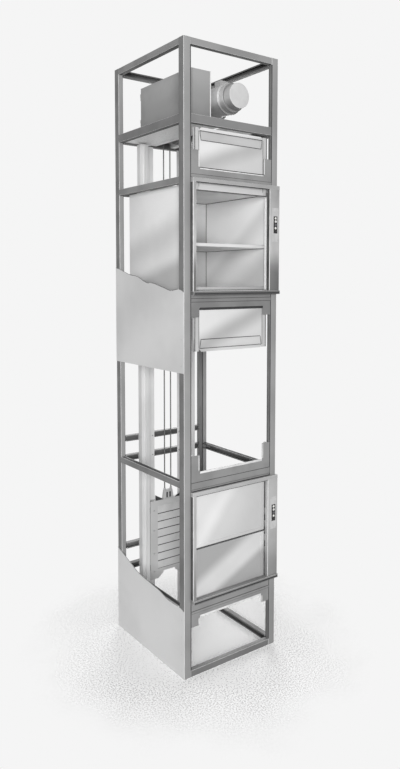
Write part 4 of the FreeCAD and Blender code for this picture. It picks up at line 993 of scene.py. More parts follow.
@dataclass
class Landing:
    """Leaves, seals and push-button station of one landing.

    Attributes:
        level: Which landing it is.
        left: The leaves' left edge.
        right: Their right edge.
        face: Their front face.
        meeting: Height of the closed leaves' meeting edge from the sill.
        height: Distance from the meeting line to a leaf's far edge.
        stile: Distance of the stiles' seams from the leaf's edges.
        stile_edge: Distance from the middle at which the stiles' finish starts.
        shoe_edge: Distance from the middle beyond which there are only sliding shoes.
        band_face: Faces of the top leaf behind this y take the stiles' finish too, as painted shade in the
            grip band's recess.
        band_height: Height of the gripped leaves' band.
        band_from_end: Distance of the band from the leaf's far edge.
        station: Height of the push-button plate's middle from the sill.
        station_x: The x of its middle.
        screw_x: Distance of its screws from the middle, along x.
        screw_z: The same, along z.
    """

    level: Level
    left: float = 115.0
    right: float = 905.0
    face: float = 12.0
    meeting: float = 420.0
    height: float = 519.0
    stile: float = 45.0
    stile_edge: float = 351.0
    shoe_edge: float = 396.0
    band_face: float = 20.0
    band_height: float = 76.0
    band_from_end: float = 28.0
    station: float = 584.5
    station_x: float = 968.5
    screw_x: float = 29.0
    screw_z: float = 138.0

    def build(self) -> None:
        """Builds both leaves' pieces and the station's."""
        for half, up in (("top", 1), ("bottom", -1)):
            self.leaf(half, up)
        self.station_screws()

    def leaf(self, half: str, up: int) -> None:
        """Folds one leaf and adds its seals and, on the gripped leaves, its seams and the beads that paint
        the shade round the grip band.

        Args:
            half: Top or bottom.
            up: 1 for the leaf that opens upwards, -1 for the other.
        """
        word = self.level.word
        body = f"{word}_{half}_leaf"
        Folded(
            f"{word}_landing_{half}_leaf", fold=1.6, rim=0.5, wide=10.0,
            cuts=(CENTRE_X - self.stile_edge, CENTRE_X + self.stile_edge),
            coats=(
                (Finish.STILE, self.on_stile),
                # The top leaf's faces behind the band face take the stile coat as painted shade in the grip
                # band's recess.
                (Finish.STILE, lambda middle, turn: up > 0 and turn.y < -0.9 and middle.y > self.band_face),
                (Finish.SLIDE, lambda middle, _: abs(middle.x - CENTRE_X) > self.shoe_edge))).build()
        edge = self.level.sill + self.meeting + up * self.level.opened
        # A rubber strip on the meeting edge; its dark face also paints the shade in the gap between the
        # leaves.
        seal = Shape().block(
            (self.left + 2, self.face - 2.4, edge + up * 1.6),
            (self.right - 2, self.face, edge + up * (9.0 if up > 0 else 5.0)), 1.0)
        seal.piece(f"{word}_{half}_meeting_seal", Finish.RUBBER, body)
        edging = Shape()
        for outer, sign in ((self.left, 1), (self.right, -1)):
            edging.block(
                (outer + sign * 0.2, self.face - 0.8, edge + up * 10),
                (outer + sign * 8.0, self.face + 0.2, edge + up * (self.height - 5)), 0.3)
        edging.piece(f"{word}_{half}_edge_seals", Finish.RUBBER, body)
        if not self.level.gripped:
            return
        seams = Shape()
        for x in (self.left + self.stile, self.right - self.stile):
            seams.block(
                (x - 2.2, self.face - 0.9, edge + up * 36), (x + 2.2, self.face + 0.2, edge + up * 490), 0.3)
        seams.piece(f"{word}_{half}_stile_seams", Finish.SEALANT, body)
        far = self.height - self.band_from_end
        beads = Shape()
        self.band(beads, edge, up, far - self.band_height, far)
        beads.piece(f"{word}_{half}_grip_beads", Finish.RUBBER, body)

    def on_stile(self, middle: Vector, turn: Vector) -> bool:
        """Tells whether a leaf's face is the front of a stile.

        Args:
            middle: The face's middle, in millimetres.
            turn: Its direction.

        Returns:
            True for a stile of the gripped leaves.
        """
        return self.level.gripped and turn.y < -0.9 and abs(middle.x - CENTRE_X) > self.stile_edge + 1

    def band(self, bead: Shape, edge: float, up: int, inner: float, outer: float) -> None:
        """Adds the thin dark beads round a leaf's grip band, which paint the shade at the edges of its
        recess.

        Args:
            bead: Shape that gets them.
            edge: Height of the leaf's meeting edge.
            up: 1 or -1, away from the meeting edge.
            inner: Distance of the band's near edge from the meeting edge.
            outer: Distance of its far edge.
        """
        wide, narrow = self.stile + 10, self.stile + 22
        for distance, inset in ((inner, narrow), (outer, wide)):
            z = edge + up * distance
            bead.block(
                (self.left + inset, self.face - 0.9, z - 2.4),
                (self.right - inset, self.face + 0.2, z + 2.4), 0.3)
        for end, sign in ((self.left, 1), (self.right, -1)):
            start = (end + sign * narrow, self.face - 0.2, edge + up * inner)
            stop = (end + sign * wide, self.face - 0.2, edge + up * outer)
            bead.rod(start, stop, 2.0, 8)

    def station_screws(self) -> None:
        """Four countersunk screws at the corners of the push-button plate."""
        shape = Shape()
        centre = self.level.sill + self.station
        for x in (self.station_x - self.screw_x, self.station_x + self.screw_x):
            for z in (centre - self.screw_z, centre + self.screw_z):
                shape.rod((x, -37.0, z), (x, -37.9, z), 4.2, 18, 0.3)
        shape.piece(f"{self.level.word}_station_screws", Finish.ZINC)


@dataclass
class Surrounds:
    """What both landings have as fixed pieces.

    Attributes:
        nodes: Nodes with folded stainless edges.
        fascias: Nodes of the notched fascias.
        head_notches: Heights of each head notch's cross edge and ears' ends, from the sill.
        sill_notches: The same of the notches below the sill.
        left: The surround's left side.
        opening_right: The doorway's right side.
        right: The surround's right side.
        face: Its front face.
        nose: The front of the sill's nose.
        opening: Height of the doorway.
        header: Height of the header.
        notch_left: Left side of the fascias' notches.
        notch_right: Their right side.
        corner: How far the trims stop short of a notch's corners.
        ribs: Lower and upper edge of each fascia's rib.
    """

    nodes: tuple[str, ...] = ("door_left_jambs", "door_control_jambs", "door_headers", "door_sills")
    fascias: tuple[str, ...] = ("head_fascias", "sill_fascias")
    head_notches: dict[Level, tuple[float, float]] = field(
        default_factory=lambda: {Level.LOWER: (1092.0, 1236.0), Level.UPPER: (1016.0, 1161.0)})
    sill_notches: dict[Level, tuple[float, float]] = field(
        default_factory=lambda: {Level.LOWER: (-177.0, -247.0), Level.UPPER: (-137.0, -217.0)})
    left: float = 69.0
    opening_right: float = 903.0
    right: float = 1020.0
    face: float = -35.0
    nose: float = -45.0
    opening: float = 898.0
    header: float = 32.0
    notch_left: float = 157.0
    notch_right: float = 863.0
    corner: float = 8.0
    ribs: tuple[tuple[float, float], ...] = (
        (1630.0, 1683.0), (4236.0, 4260.0), (552.0, 570.0), (3212.0, 3238.0))

    def build(self) -> None:
        """Folds the surrounds, fascias, guides and stations, and adds their pale trims that paint highlights,
        their rubber strips and the dark strips that paint shade.
        """
        for node in self.nodes:
            # The surrounds' folds take the painted highlight.
            Folded(node, fold=4.0, rim=0.5, worn=Finish.FOLD).build()
        for node in self.fascias:
            Folded(node, fold=0, rim=0.6).build()
        Folded("door_guides", fold=0, rim=0.5, coats=(
            (Finish.STILE, lambda middle, turn: middle.x > CENTRE_X and turn.x < -0.9),)).build()
        Folded("control_plates", fold=0, rim=0.5).build()
        Folded("button_strips", fold=0, rim=0.8).build()
        self.trims().piece("fascia_edge_trims", Finish.FOLD, slot="fascia_paint")
        self.gaskets().piece("surround_gaskets", Finish.RUBBER)
        self.sides().piece("jamb_side_strips", Finish.SURROUND_SIDE, slot="surround_stainless")
        self.wipers().piece("leaf_wiper_seals", Finish.RUBBER)
        self.creases().piece("fascia_crease_seals", Finish.RUBBER)
        self.guide_brushes().piece("guide_brush_strips", Finish.RUBBER)

    def trims(self) -> Shape:
        """A slim pale strip round each notch, but for the one the apron leaf hangs in: a painted highlight
        along the notch's edge.
        """
        shape = Shape()
        for notches, up in ((self.head_notches, 1), (self.sill_notches, -1)):
            for level, (cross, ear) in notches.items():
                wide = 17.0 if level is Level.LOWER else 8.5
                if up < 0 and level is Level.UPPER:
                    continue
                inner, end = level.sill + cross, level.sill + ear
                shape.block(
                    (self.notch_left + self.corner, -1.6, inner + up * 0.5),
                    (self.notch_right - self.corner, 0.2, inner - up * wide), 0.5)
                for x, out in ((self.notch_left, -1), (self.notch_right, 1)):
                    shape.block(
                        (x - out * 0.5, -1.4, inner + up * self.corner),
                        (x + out * 8.5, 0.2, end - up * 4), 0.5)
        return shape

    def creases(self) -> Shape:
        """A dark bead along both edges of each fascia's rib: painted shade lines at the rib."""
        shape = Shape()
        for low, high in self.ribs:
            for z in (low - 3.6, high):
                shape.block((75, -0.9, z), (945, 0.2, z + 3.6), 0.3)
        return shape

    def guide_brushes(self) -> Shape:
        """Brush strips down the doorway side of each guide, and a thin one along its front edge."""
        shape = Shape()
        for level in Level:
            shape.block((114.0, 2.1, level.sill + 1), (114.7, 4.4, level.sill + self.opening), 0.2)
            shape.block((109.5, 1.2, level.sill + 2), (113.6, 2.1, level.sill + self.opening + 120), 0.3)
        return shape.mirror()

    def gaskets(self) -> Shape:
        """Dark strips round the header, which paint its shade lines, and rubber strips in the face of the
        sill.
        """
        shape = Shape()
        for level in Level:
            top = level.sill + self.opening
            shape.block((self.left + 6, self.face + 1, top - 4.5), (self.right - 6, self.face + 16, top), 1.0)
            shape.block(
                (self.left + 4, self.face + 22, top + self.header),
                (self.right - 74, -1, top + self.header + 5), 1.0)
            for high, low in ((14, 27), (30, 32)):
                shape.block(
                    (self.left + 4, self.nose - 1.0, level.sill - low),
                    (self.right - 4, self.nose + 0.5, level.sill - high), 0.4)
        return shape

    def sides(self) -> Shape:
        """Dark strips down the left jamb's outer side and the control jamb's side at the upper landing:
        painted shade on those sides.
        """
        shape = Shape()
        for level in Level:
            low, high = level.sill + 2, level.sill + self.opening - 5
            shape.block((self.left - 0.9, self.face + 4, low), (self.left + 0.2, -1, high), 0.3)
        low, high = Level.UPPER.sill + 2, Level.UPPER.sill + self.opening - 6
        shape.block((self.opening_right - 0.9, self.face + 4, low), (self.opening_right + 0.2, -1, high), 0.3)
        return shape

    def wipers(self) -> Shape:
        """Dark lips behind the fascias' cross edges, against the open leaves: a painted shadow of the fascias
        on the leaves.
        """
        shape = Shape()
        low, high = self.notch_left - 4, self.notch_right + 4
        head = Level.UPPER.sill + self.head_notches[Level.UPPER][0]
        shape.block((low, 8.3, head - 14), (high, 11.0, head + 9), 0.8)
        sill = Level.UPPER.sill + self.sill_notches[Level.UPPER][0]
        shape.block((low, 8.3, sill - 21), (high, 11.0, sill + 14), 0.8)
        return shape


@dataclass
class Car:
    """The car with its shelf, roof and rope sockets.

    Attributes:
        left: Outer face of the left wall.
        right: Outer face of the right wall.
        front: Front edge of the car.
        back: Outer face of the back wall.
        floor: Top of the floor.
        ceiling: Underside of the roof.
        roof: Top of the roof.
        wall: Thickness of the walls with their folds.
        shelf: Heights of the shelf's two faces from the floor.
    """

    left: float = 60.0
    right: float = 960.0
    front: float = 50.0
    back: float = 980.0
    floor: float = 3305.0
    ceiling: float = 4155.0
    roof: float = 4183.0
    wall: float = 25.0
    shelf: tuple[float, float] = (373.0, 400.0)

    def build(self) -> None:
        """Folds the car's panels and adds its trims."""
        for part in ("left_wall", "right_wall", "back_wall", "floor", "roof", "shelf"):
            Folded(f"car_{part}", fold=1.8, rim=0.4, wide=12.0).build()
        for node in ("car_guide_shoes", "car_rope_hitch"):
            Folded(node, fold=1.2, rim=0.5).build()
        self.threshold().piece("car_threshold_strip", Finish.CAR_SHELF, "car", "car_steel")
        self.lip().piece("car_floor_lip", Finish.CAR_SIDE, "car", "car_steel")
        self.lip_seal().piece("car_floor_lip_seal", Finish.RUBBER, "car")
        self.seams().piece("car_roof_seam_screws", Finish.ZINC, "car")
        self.sealed_corners().piece("car_corner_sealant", Finish.SEALANT, "car")
        self.sockets().piece("car_rope_sockets", Finish.ZINC, "car")

    def lip(self) -> Shape:
        """A folded lip across the front of the floor that keeps trays from sliding out."""
        inset = self.wall + 1
        return Shape().block(
            (self.left + inset, self.front + 1, self.floor + 3),
            (self.right - inset, self.front + 4, self.floor + 28), 0.8)

    def lip_seal(self) -> Shape:
        """A rubber strip along the lip's foot."""
        inset = self.wall + 1
        return Shape().block(
            (self.left + inset, self.front + 0.4, self.floor - 3),
            (self.right - inset, self.front + 2, self.floor + 5), 0.5)

    def threshold(self) -> Shape:
        """A ribbed strip along the front edge of the floor."""
        shape = Shape()
        for index in range(7):
            y = self.front + 8 + index * 9
            shape.block(
                (self.left + self.wall + 2, y, self.floor),
                (self.right - self.wall - 2, y + 4, self.floor + 1.6), 0.5)
        return shape

    def sealed_corners(self) -> Shape:
        """A thin bead of sealant in every inside corner of the car."""
        shape = Shape()
        left, right, back = self.left + self.wall, self.right - self.wall, self.back - self.wall
        shelf_low, shelf_high = (self.floor + height for height in self.shelf)
        bead = 4.0
        for low, high in ((self.floor, shelf_low), (shelf_high, self.ceiling)):
            shape.block((left, back - bead, low), (left + bead, back, high), 0.8)
            for z in (low, high - bead):
                shape.block((left, self.front + 9, z), (left + bead, back, z + bead), 0.8)
        shape.mirror()
        for z in (self.floor, shelf_low - bead, shelf_high, self.ceiling - bead):
            shape.block((left, back - bead, z), (right, back, z + bead), 0.8)
        return shape

    def seams(self) -> Shape:
        """Screws along the roof's two side seams."""
        shape = Shape()
        for x in (self.left + 12, self.right - 12):
            for index in range(7):
                y = self.front + 60 + index * 135
                shape.rod((x, y, self.roof), (x, y, self.roof + 2.2), 5.0, 14, 0.6)
        return shape

    def sockets(self) -> Shape:
        """A nut under each rope's socket, above the hitch, and a ring round the rope."""
        shape = Shape()
        base = self.roof + 55
        for x in ROPE_XS:
            shape.rod((x, CAR_ROPE_Y, base), (x, CAR_ROPE_Y, base + 7), 16, 6, 0.8)
            shape.ring((x, CAR_ROPE_Y, base + 19), (0, 0, 1), SOCKET_RADIUS, SOCKET_SECTION, 24, 8)
        return shape


@dataclass
class Counterweight:
    """Frame, stack and rope sockets of the counterweight.

    Attributes:
        left: The frame's left side.
        right: Its right side, less a clearance of 0.5.
        stile: Width of its stiles.
        front: Its front face.
        bottom: Underside of the bar below the stack.
        bar: Height of that bar.
        pitch: Distance from plate to plate.
        plates: Number of plates in the stack.
        top: Underside of the crosshead, over the stack.
    """

    left: float = 291.0
    right: float = 728.5
    stile: float = 84.0
    front: float = 1005.0
    bottom: float = 483.0
    bar: float = 33.0
    pitch: float = 80.0
    plates: int = 8
    top: float = 1156.0

    def build(self) -> None:
        """Folds the frame and adds the stack's joints, stays and sockets."""
        Folded("counterweight_frame", fold=2.0, rim=0.6).build()
        Folded("counterweight_plates", fold=0, rim=3.2).build()
        for node in ("counterweight_guide_shoes", "counterweight_rope_hitch"):
            Folded(node, fold=0, rim=0.8).build()
        self.stays().piece("counterweight_stay_rods", Finish.ZINC, "counterweight")
        self.sockets().piece("counterweight_rope_sockets", Finish.ZINC, "counterweight")
        self.joints().piece("counterweight_plate_joints", Finish.RUBBER, "counterweight")
        self.gussets().piece("counterweight_rubber_pads", Finish.RUBBER, "counterweight")

    def joints(self) -> Shape:
        """A shadow strip in each joint of the stack, between the frame's stiles."""
        shape = Shape()
        for index in range(self.plates):
            z = self.bottom + self.bar + index * self.pitch
            shape.block(
                (self.left + self.stile, self.front + 3.4, z - 4.4),
                (self.right - self.stile, self.front + 6.0, z + 3.6))
        return shape

    def gussets(self) -> Shape:
        """Dark pads on the crosshead's gussets and in the hitch's slots: painted shade there."""
        shape = Shape()
        high = self.top + 55
        outline = [(349.0, high + 1), (444.0, high + 1), (349.0, high + 55)]
        shape.prism(outline, self.front - 1.0, self.front + 0.5).mirror()
        for x in (492.3, 527.7):
            shape.block((x - 8.4, self.front + 8, high + 8), (x + 8.4, self.front + 14, high + 62), 0.4)
        return shape

    def stays(self) -> Shape:
        """Bolts up the frame's two stiles."""
        shape = Shape()
        for z in (self.bottom + 17, self.bottom + 200, self.bottom + 430, self.top - 40):
            shape.bolt((self.left + 42, self.front, z), (0, -1, 0), 8)
        return shape.mirror()

    def sockets(self) -> Shape:
        """A ring round each rope where it leaves the hitch."""
        shape = Shape()
        for x in ROPE_XS:
            seat = (x, WEIGHT_ROPE_Y, self.top + 157)
            shape.ring(seat, (0, 0, 1), SOCKET_RADIUS, SOCKET_SECTION, 24, 8)
        return shape


@dataclass
class Machine:
    """Gearbox, motor, sheave and bearing on the machine floor.

    Attributes:
        x: The motor's and the worm's x.
        sheave_y: The sheave's y.
        sheave_z: Height of the sheave's centre.
        motor_z: Height of the motor's axis.
        motor_back: The y of the motor frame's rear end.
        case_face: Distance of the wheel case's right face from x.
        cover: Thickness of its cover.
        cover_bolts: Radius of the cover's ring of bolts.
        flange_bolts: Radius of the motor flange's ring of bolts.
        pedestal_x: The x of the bearing pedestal's foot bolts.
        hub_x: The sheave hub's free face.
        hub_bolts: Radius of its ring of bolts.
        box_top: Height of the terminal box's lid from the motor's axis.
        lid_screw: Distance of the lid's screws from its middle, along x and y.
    """

    x: float = 703.0
    sheave_y: float = SHEAVE_CENTRE[1]
    sheave_z: float = SHEAVE_CENTRE[2]
    motor_z: float = 5018.0
    motor_back: float = 500.0
    case_face: float = 63.0
    cover: float = 9.0
    cover_bolts: float = 80.0
    flange_bolts: float = 148.0
    pedestal_x: float = 400.0
    hub_x: float = 455.0
    hub_bolts: float = 46.0
    box_top: float = 176.0
    lid_screw: float = 37.0

    def build(self) -> None:
        """Dresses the machine's nodes and adds its fastenings and fittings."""
        for node in ("machine_bed", "motor_terminal_box"):
            Folded(node, fold=2.5, rim=0.8).build()
        for node in ("gearbox_housing", "bearing_pedestal", "drive_sheave"):
            Folded(node, fold=0, rim=1.6).build()
        Folded("motor_frame", fold=0, rim=1.6, coats=(
            (Finish.MOTOR_RING, lambda middle, turn: turn.y < -0.9 and middle.y < 260),)).build()
        Folded("motor_fan_cowl", fold=0, rim=0.5, coats=(
            (Finish.COWL_SIDE, lambda _, turn: abs(turn.y) < 0.5),)).build()
        self.covers().piece("gearbox_covers", Finish.GEARBOX, slot="gearbox_paint")
        self.bolts().piece("machine_bolts", Finish.ZINC)
        self.fittings().piece("gearbox_oil_fittings", Finish.ZINC)
        self.terminals().piece("terminal_box_gland", Finish.SLIDE)
        self.hub().piece("sheave_hub_bolts", Finish.ZINC, "sheave")

    def covers(self) -> Shape:
        """Round bearing covers on the worm case's end and the wheel case's right side."""
        shape = Shape()
        y, z = self.sheave_y, self.sheave_z
        right = self.x + self.case_face
        face = right + self.cover
        shape.rod((right, y, z), (face, y, z), 96, 48, 2.5)
        shape.rod((face, y, z), (face + 10, y, z), 46, 36, 3)
        end = self.sheave_y + 160
        shape.rod((self.x, end, self.motor_z), (self.x, end + 8, self.motor_z), 60, 36, 2)
        return shape

    def bolts(self) -> Shape:
        """Cover bolts, foot bolts and the motor flange's bolts."""
        shape = Shape()
        for index in range(8):
            turn = index * math.tau / 8 + 0.2
            across, up = math.cos(turn), math.sin(turn)
            ring, flange = self.cover_bolts, self.flange_bolts
            shape.bolt(
                (self.x + self.case_face + self.cover, self.sheave_y + ring * across,
                 self.sheave_z + ring * up), (1, 0, 0), 9)
            shape.bolt(
                (self.x + flange * across, self.motor_back + 60, self.motor_z + flange * up), (0, 1, 0), 8)
        for x in (-88, 88):
            for y in (-130, 130):
                shape.bolt((self.x + x, self.sheave_y + y, MACHINE_FLOOR + 18), (0, 0, 1), 14)
        for y in (-62, 62):
            shape.bolt((self.pedestal_x, self.sheave_y + y, MACHINE_FLOOR + 16), (0, 0, 1), 10)
        return shape

    def fittings(self) -> Shape:
        """Breather on the worm case, oil level glass and drain plug on the wheel case."""
        shape = Shape()
        top = self.motor_z + 70
        shape.rod((self.x, self.sheave_y, top), (self.x, self.sheave_y, top + 14), 11, 6, 1)
        shape.rod((self.x, self.sheave_y, top + 14), (self.x, self.sheave_y, top + 30), 15, 24, 4)
        front = self.sheave_y - 135
        shape.ring((self.x, front - 1, self.sheave_z - 30), (0, 1, 0), 14, 3, 32, 8)
        x, z = self.x + 25, self.sheave_z - 100
        shape.rod((x, front + 2, z), (x, front - 10, z), 10, 6, 1)
        return shape

    def terminals(self) -> Shape:
        """A cable gland on the terminal box and its four lid screws."""
        shape = Shape()
        top = self.motor_z + self.box_top
        middle, z = self.motor_back - 90, top - 18
        shape.rod((self.x + 45, middle, z), (self.x + 53, middle, z), 13, 6, 1)
        shape.rod((self.x + 53, middle, z), (self.x + 70, middle, z), 11, 24, 2, 8)
        for x in (self.x - self.lid_screw, self.x + self.lid_screw):
            for y in (middle - self.lid_screw, middle + self.lid_screw):
                shape.rod((x, y, top), (x, y, top + 2), 3.5, 14, 0.4)
        return shape

    def hub(self) -> Shape:
        """Six bolts round the sheave's hub on its free side."""
        shape = Shape()
        for index in range(6):
            turn = index * math.tau / 6
            across, up = self.hub_bolts * math.cos(turn), self.hub_bolts * math.sin(turn)
            shape.bolt((self.hub_x, self.sheave_y + across, self.sheave_z + up), (-1, 0, 0), 9)
        return shape


@dataclass
class Cabinet:
    """The controller cabinet, its side door and vents.

    Attributes:
        right: Its right face.
        front: Its front face.
        bottom: Its lower edge.
        top: Its upper edge.
        vents_y: Where each column of louvres starts.
        vent_length: Length of a louvre.
        glands_y: The y of the cable glands.
    """

    right: float = 350.0
    front: float = 100.0
    bottom: float = 4691.0
    top: float = 5149.0
    vents_y: tuple[float, ...] = (210.0, 640.0)
    vent_length: float = 130.0
    glands_y: tuple[float, ...] = (430.0, 480.0, 530.0)

    def build(self) -> None:
        """Folds both parts and adds vents and glands."""
        Folded("cabinet_body", fold=2.0, rim=0.5).build()
        Folded("cabinet_door", fold=2.0, rim=0.5).build()
        self.vents().piece("cabinet_vent_louvres", Finish.CABINET, slot="cabinet_paint")
        self.glands().piece("cabinet_cable_glands", Finish.SLIDE)
        self.trim().piece("cabinet_corner_trim", Finish.FOLD, slot="cabinet_paint")

    def trim(self) -> Shape:
        """A bright strip down the front right corner: a painted highlight."""
        return Shape().block(
            (self.right - 9, self.front - 0.8, MACHINE_FLOOR + 5),
            (self.right + 0.3, self.front + 0.2, self.top - 3), 0.3)

    def vents(self) -> Shape:
        """Louvres on the right side, towards the machine."""
        shape = Shape()
        for start in self.vents_y:
            for index in range(7):
                shape.louvre(self.right, start, start + self.vent_length, self.top - 60 - index * 22)
        return shape

    def glands(self) -> Shape:
        """Three cable glands low on the right side."""
        shape = Shape()
        z = self.bottom + 120
        for y in self.glands_y:
            shape.rod((self.right, y, z), (self.right + 8, y, z), 15, 6, 1)
            shape.rod((self.right + 8, y, z), (self.right + 24, y, z), 12, 24, 2, 9)
        return shape


class Lay(Enum):
    """How a rope runs: straight up and down, or round the sheave."""

    STRAIGHT = "stranded_wire_rope"
    WRAPPED = "stranded_wire_rope_on_sheave"


@dataclass(frozen=True)
class WireRope:
    """Oiled steel rope of outer strands laid in a helix: light strands with dark oily valleys.

    Attributes:
        lay: How the rope runs.
        strands: Outer strands seen round the rope.
        pitch: Length of one turn of a strand in millimetres.
        radius: From the sheave's centre to the rope's.
    """

    lay: Lay
    strands: int = 6
    pitch: float = 75.0
    radius: float = 221.5

    def material(self) -> bpy.types.Material:
        """Builds the rope's material from the angle round the rope and the distance along it.

        Returns:
            The material.
        """
        made, tree, shader = start_material(self.lay.value)
        spot = add(tree, "ShaderNodeTexCoord").outputs["Object"]
        parts = add(tree, "ShaderNodeSeparateXYZ", {0: spot})
        spacing = ROPE_XS[1] - ROPE_XS[0]
        start = (ROPE_XS[0] - spacing / 2 - MIDDLE.x) * MM
        shifted = add(tree, "ShaderNodeMath", {0: parts.outputs["X"], 1: start}, operation="SUBTRACT")
        cell = add(tree, "ShaderNodeMath", {0: shifted, 1: spacing * MM, 2: 0.0}, operation="WRAP")
        side = add(tree, "ShaderNodeMath", {0: cell, 1: spacing * MM / 2}, operation="SUBTRACT")
        if self.lay is Lay.STRAIGHT:
            middle = (CAR_ROPE_Y + WEIGHT_ROPE_Y) / 2
            shifted = add(tree, "ShaderNodeMath", {
                0: parts.outputs["Y"], 1: (middle - MIDDLE.y) * MM}, operation="SUBTRACT")
            nearest = add(tree, "ShaderNodeMath", {0: shifted}, operation="ABSOLUTE")
            reach = (WEIGHT_ROPE_Y - middle) * MM
            off = add(tree, "ShaderNodeMath", {0: nearest, 1: reach}, operation="SUBTRACT")
            along = parts.outputs["Z"]
        else:
            arm = add(tree, "ShaderNodeVectorMath", {0: spot, 1: at(*SHEAVE_CENTRE)}, operation="SUBTRACT")
            flat = add(tree, "ShaderNodeVectorMath", {0: arm, 1: (0.0, 1.0, 1.0)}, operation="MULTIPLY")
            sides = add(tree, "ShaderNodeSeparateXYZ", {0: flat})
            length = add(tree, "ShaderNodeVectorMath", {0: flat}, operation="LENGTH").outputs["Value"]
            off = add(tree, "ShaderNodeMath", {0: length, 1: self.radius * MM}, operation="SUBTRACT")
            turned = add(tree, "ShaderNodeMath", {
                0: sides.outputs["Z"], 1: sides.outputs["Y"]}, operation="ARCTAN2")
            along = add(tree, "ShaderNodeMath", {0: turned, 1: self.radius * MM}, operation="MULTIPLY")
        round_rope = add(tree, "ShaderNodeMath", {0: side, 1: off}, operation="ARCTAN2")
        spread = add(tree, "ShaderNodeMath", {0: round_rope, 1: float(self.strands)}, operation="MULTIPLY")
        phase = add(tree, "ShaderNodeMath", {
            0: along, 1: self.strands * math.tau / (self.pitch * MM), 2: spread}, operation="MULTIPLY_ADD")
        wave = add(tree, "ShaderNodeMath", {0: phase}, operation="SINE")
        strand = add(tree, "ShaderNodeMapRange", {
            "Value": wave, "From Min": -1.0, "From Max": 0.4}, interpolation_type="SMOOTHSTEP")
        colour = add(tree, "ShaderNodeMix", {
            0: strand, 6: linear("2e2e2e"), 7: linear("8a8a8a")}, data_type="RGBA")
        bump = add(tree, "ShaderNodeBump", {"Height": strand, "Distance": 0.8 * MM})
        tree.links.new(colour.outputs[2], shader.inputs["Base Color"])
        tree.links.new(bump.outputs[0], shader.inputs["Normal"])
        shader.inputs["Metallic"].default_value = 0.7
        shader.inputs["Roughness"].default_value = 0.4
        return made


@dataclass
class Ropes:
    """The suspension ropes: falls that lengthen and shorten as the lift runs, and the turns on the sheave.

    Attributes:
        falls: Each fall's node and the body it hangs from.
        turns: The node of the rope on the sheave.
    """

    falls: tuple[tuple[str, str], ...] = (("car_ropes", "car"), ("counterweight_ropes", "counterweight"))
    turns: str = "sheave_rope_turns"

    def build(self) -> None:
        """Lays the falls and gives every rope its finish."""
        material = WireRope(Lay.STRAIGHT).material()
        for node, body in self.falls:
            self.fall(node, body).data.materials.append(material)
        dress(self.turns, WireRope(Lay.WRAPPED).material())

    @staticmethod
    def fall(node: str, body: str) -> bpy.types.Object:
        """Lays one fall from its hitch to the sheave.

        Args:
            node: The node it stands for.
            body: The body its hitch is on; not used.

        Returns:
            The piece, which has no finish yet.
        """
        mesh = node_mesh(node)
        rope = place(mesh, node + ".laid", [], None)
        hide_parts(node)
        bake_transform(rope)
        return rope


def dress(node: str, material: bpy.types.Material) -> None:
    """Gives a node one material.

    Args:
        node: The node's name.
        material: What it gets.
    """
    data = frame["nodes"][node].data
    data.materials.clear()
    data.materials.append(material)


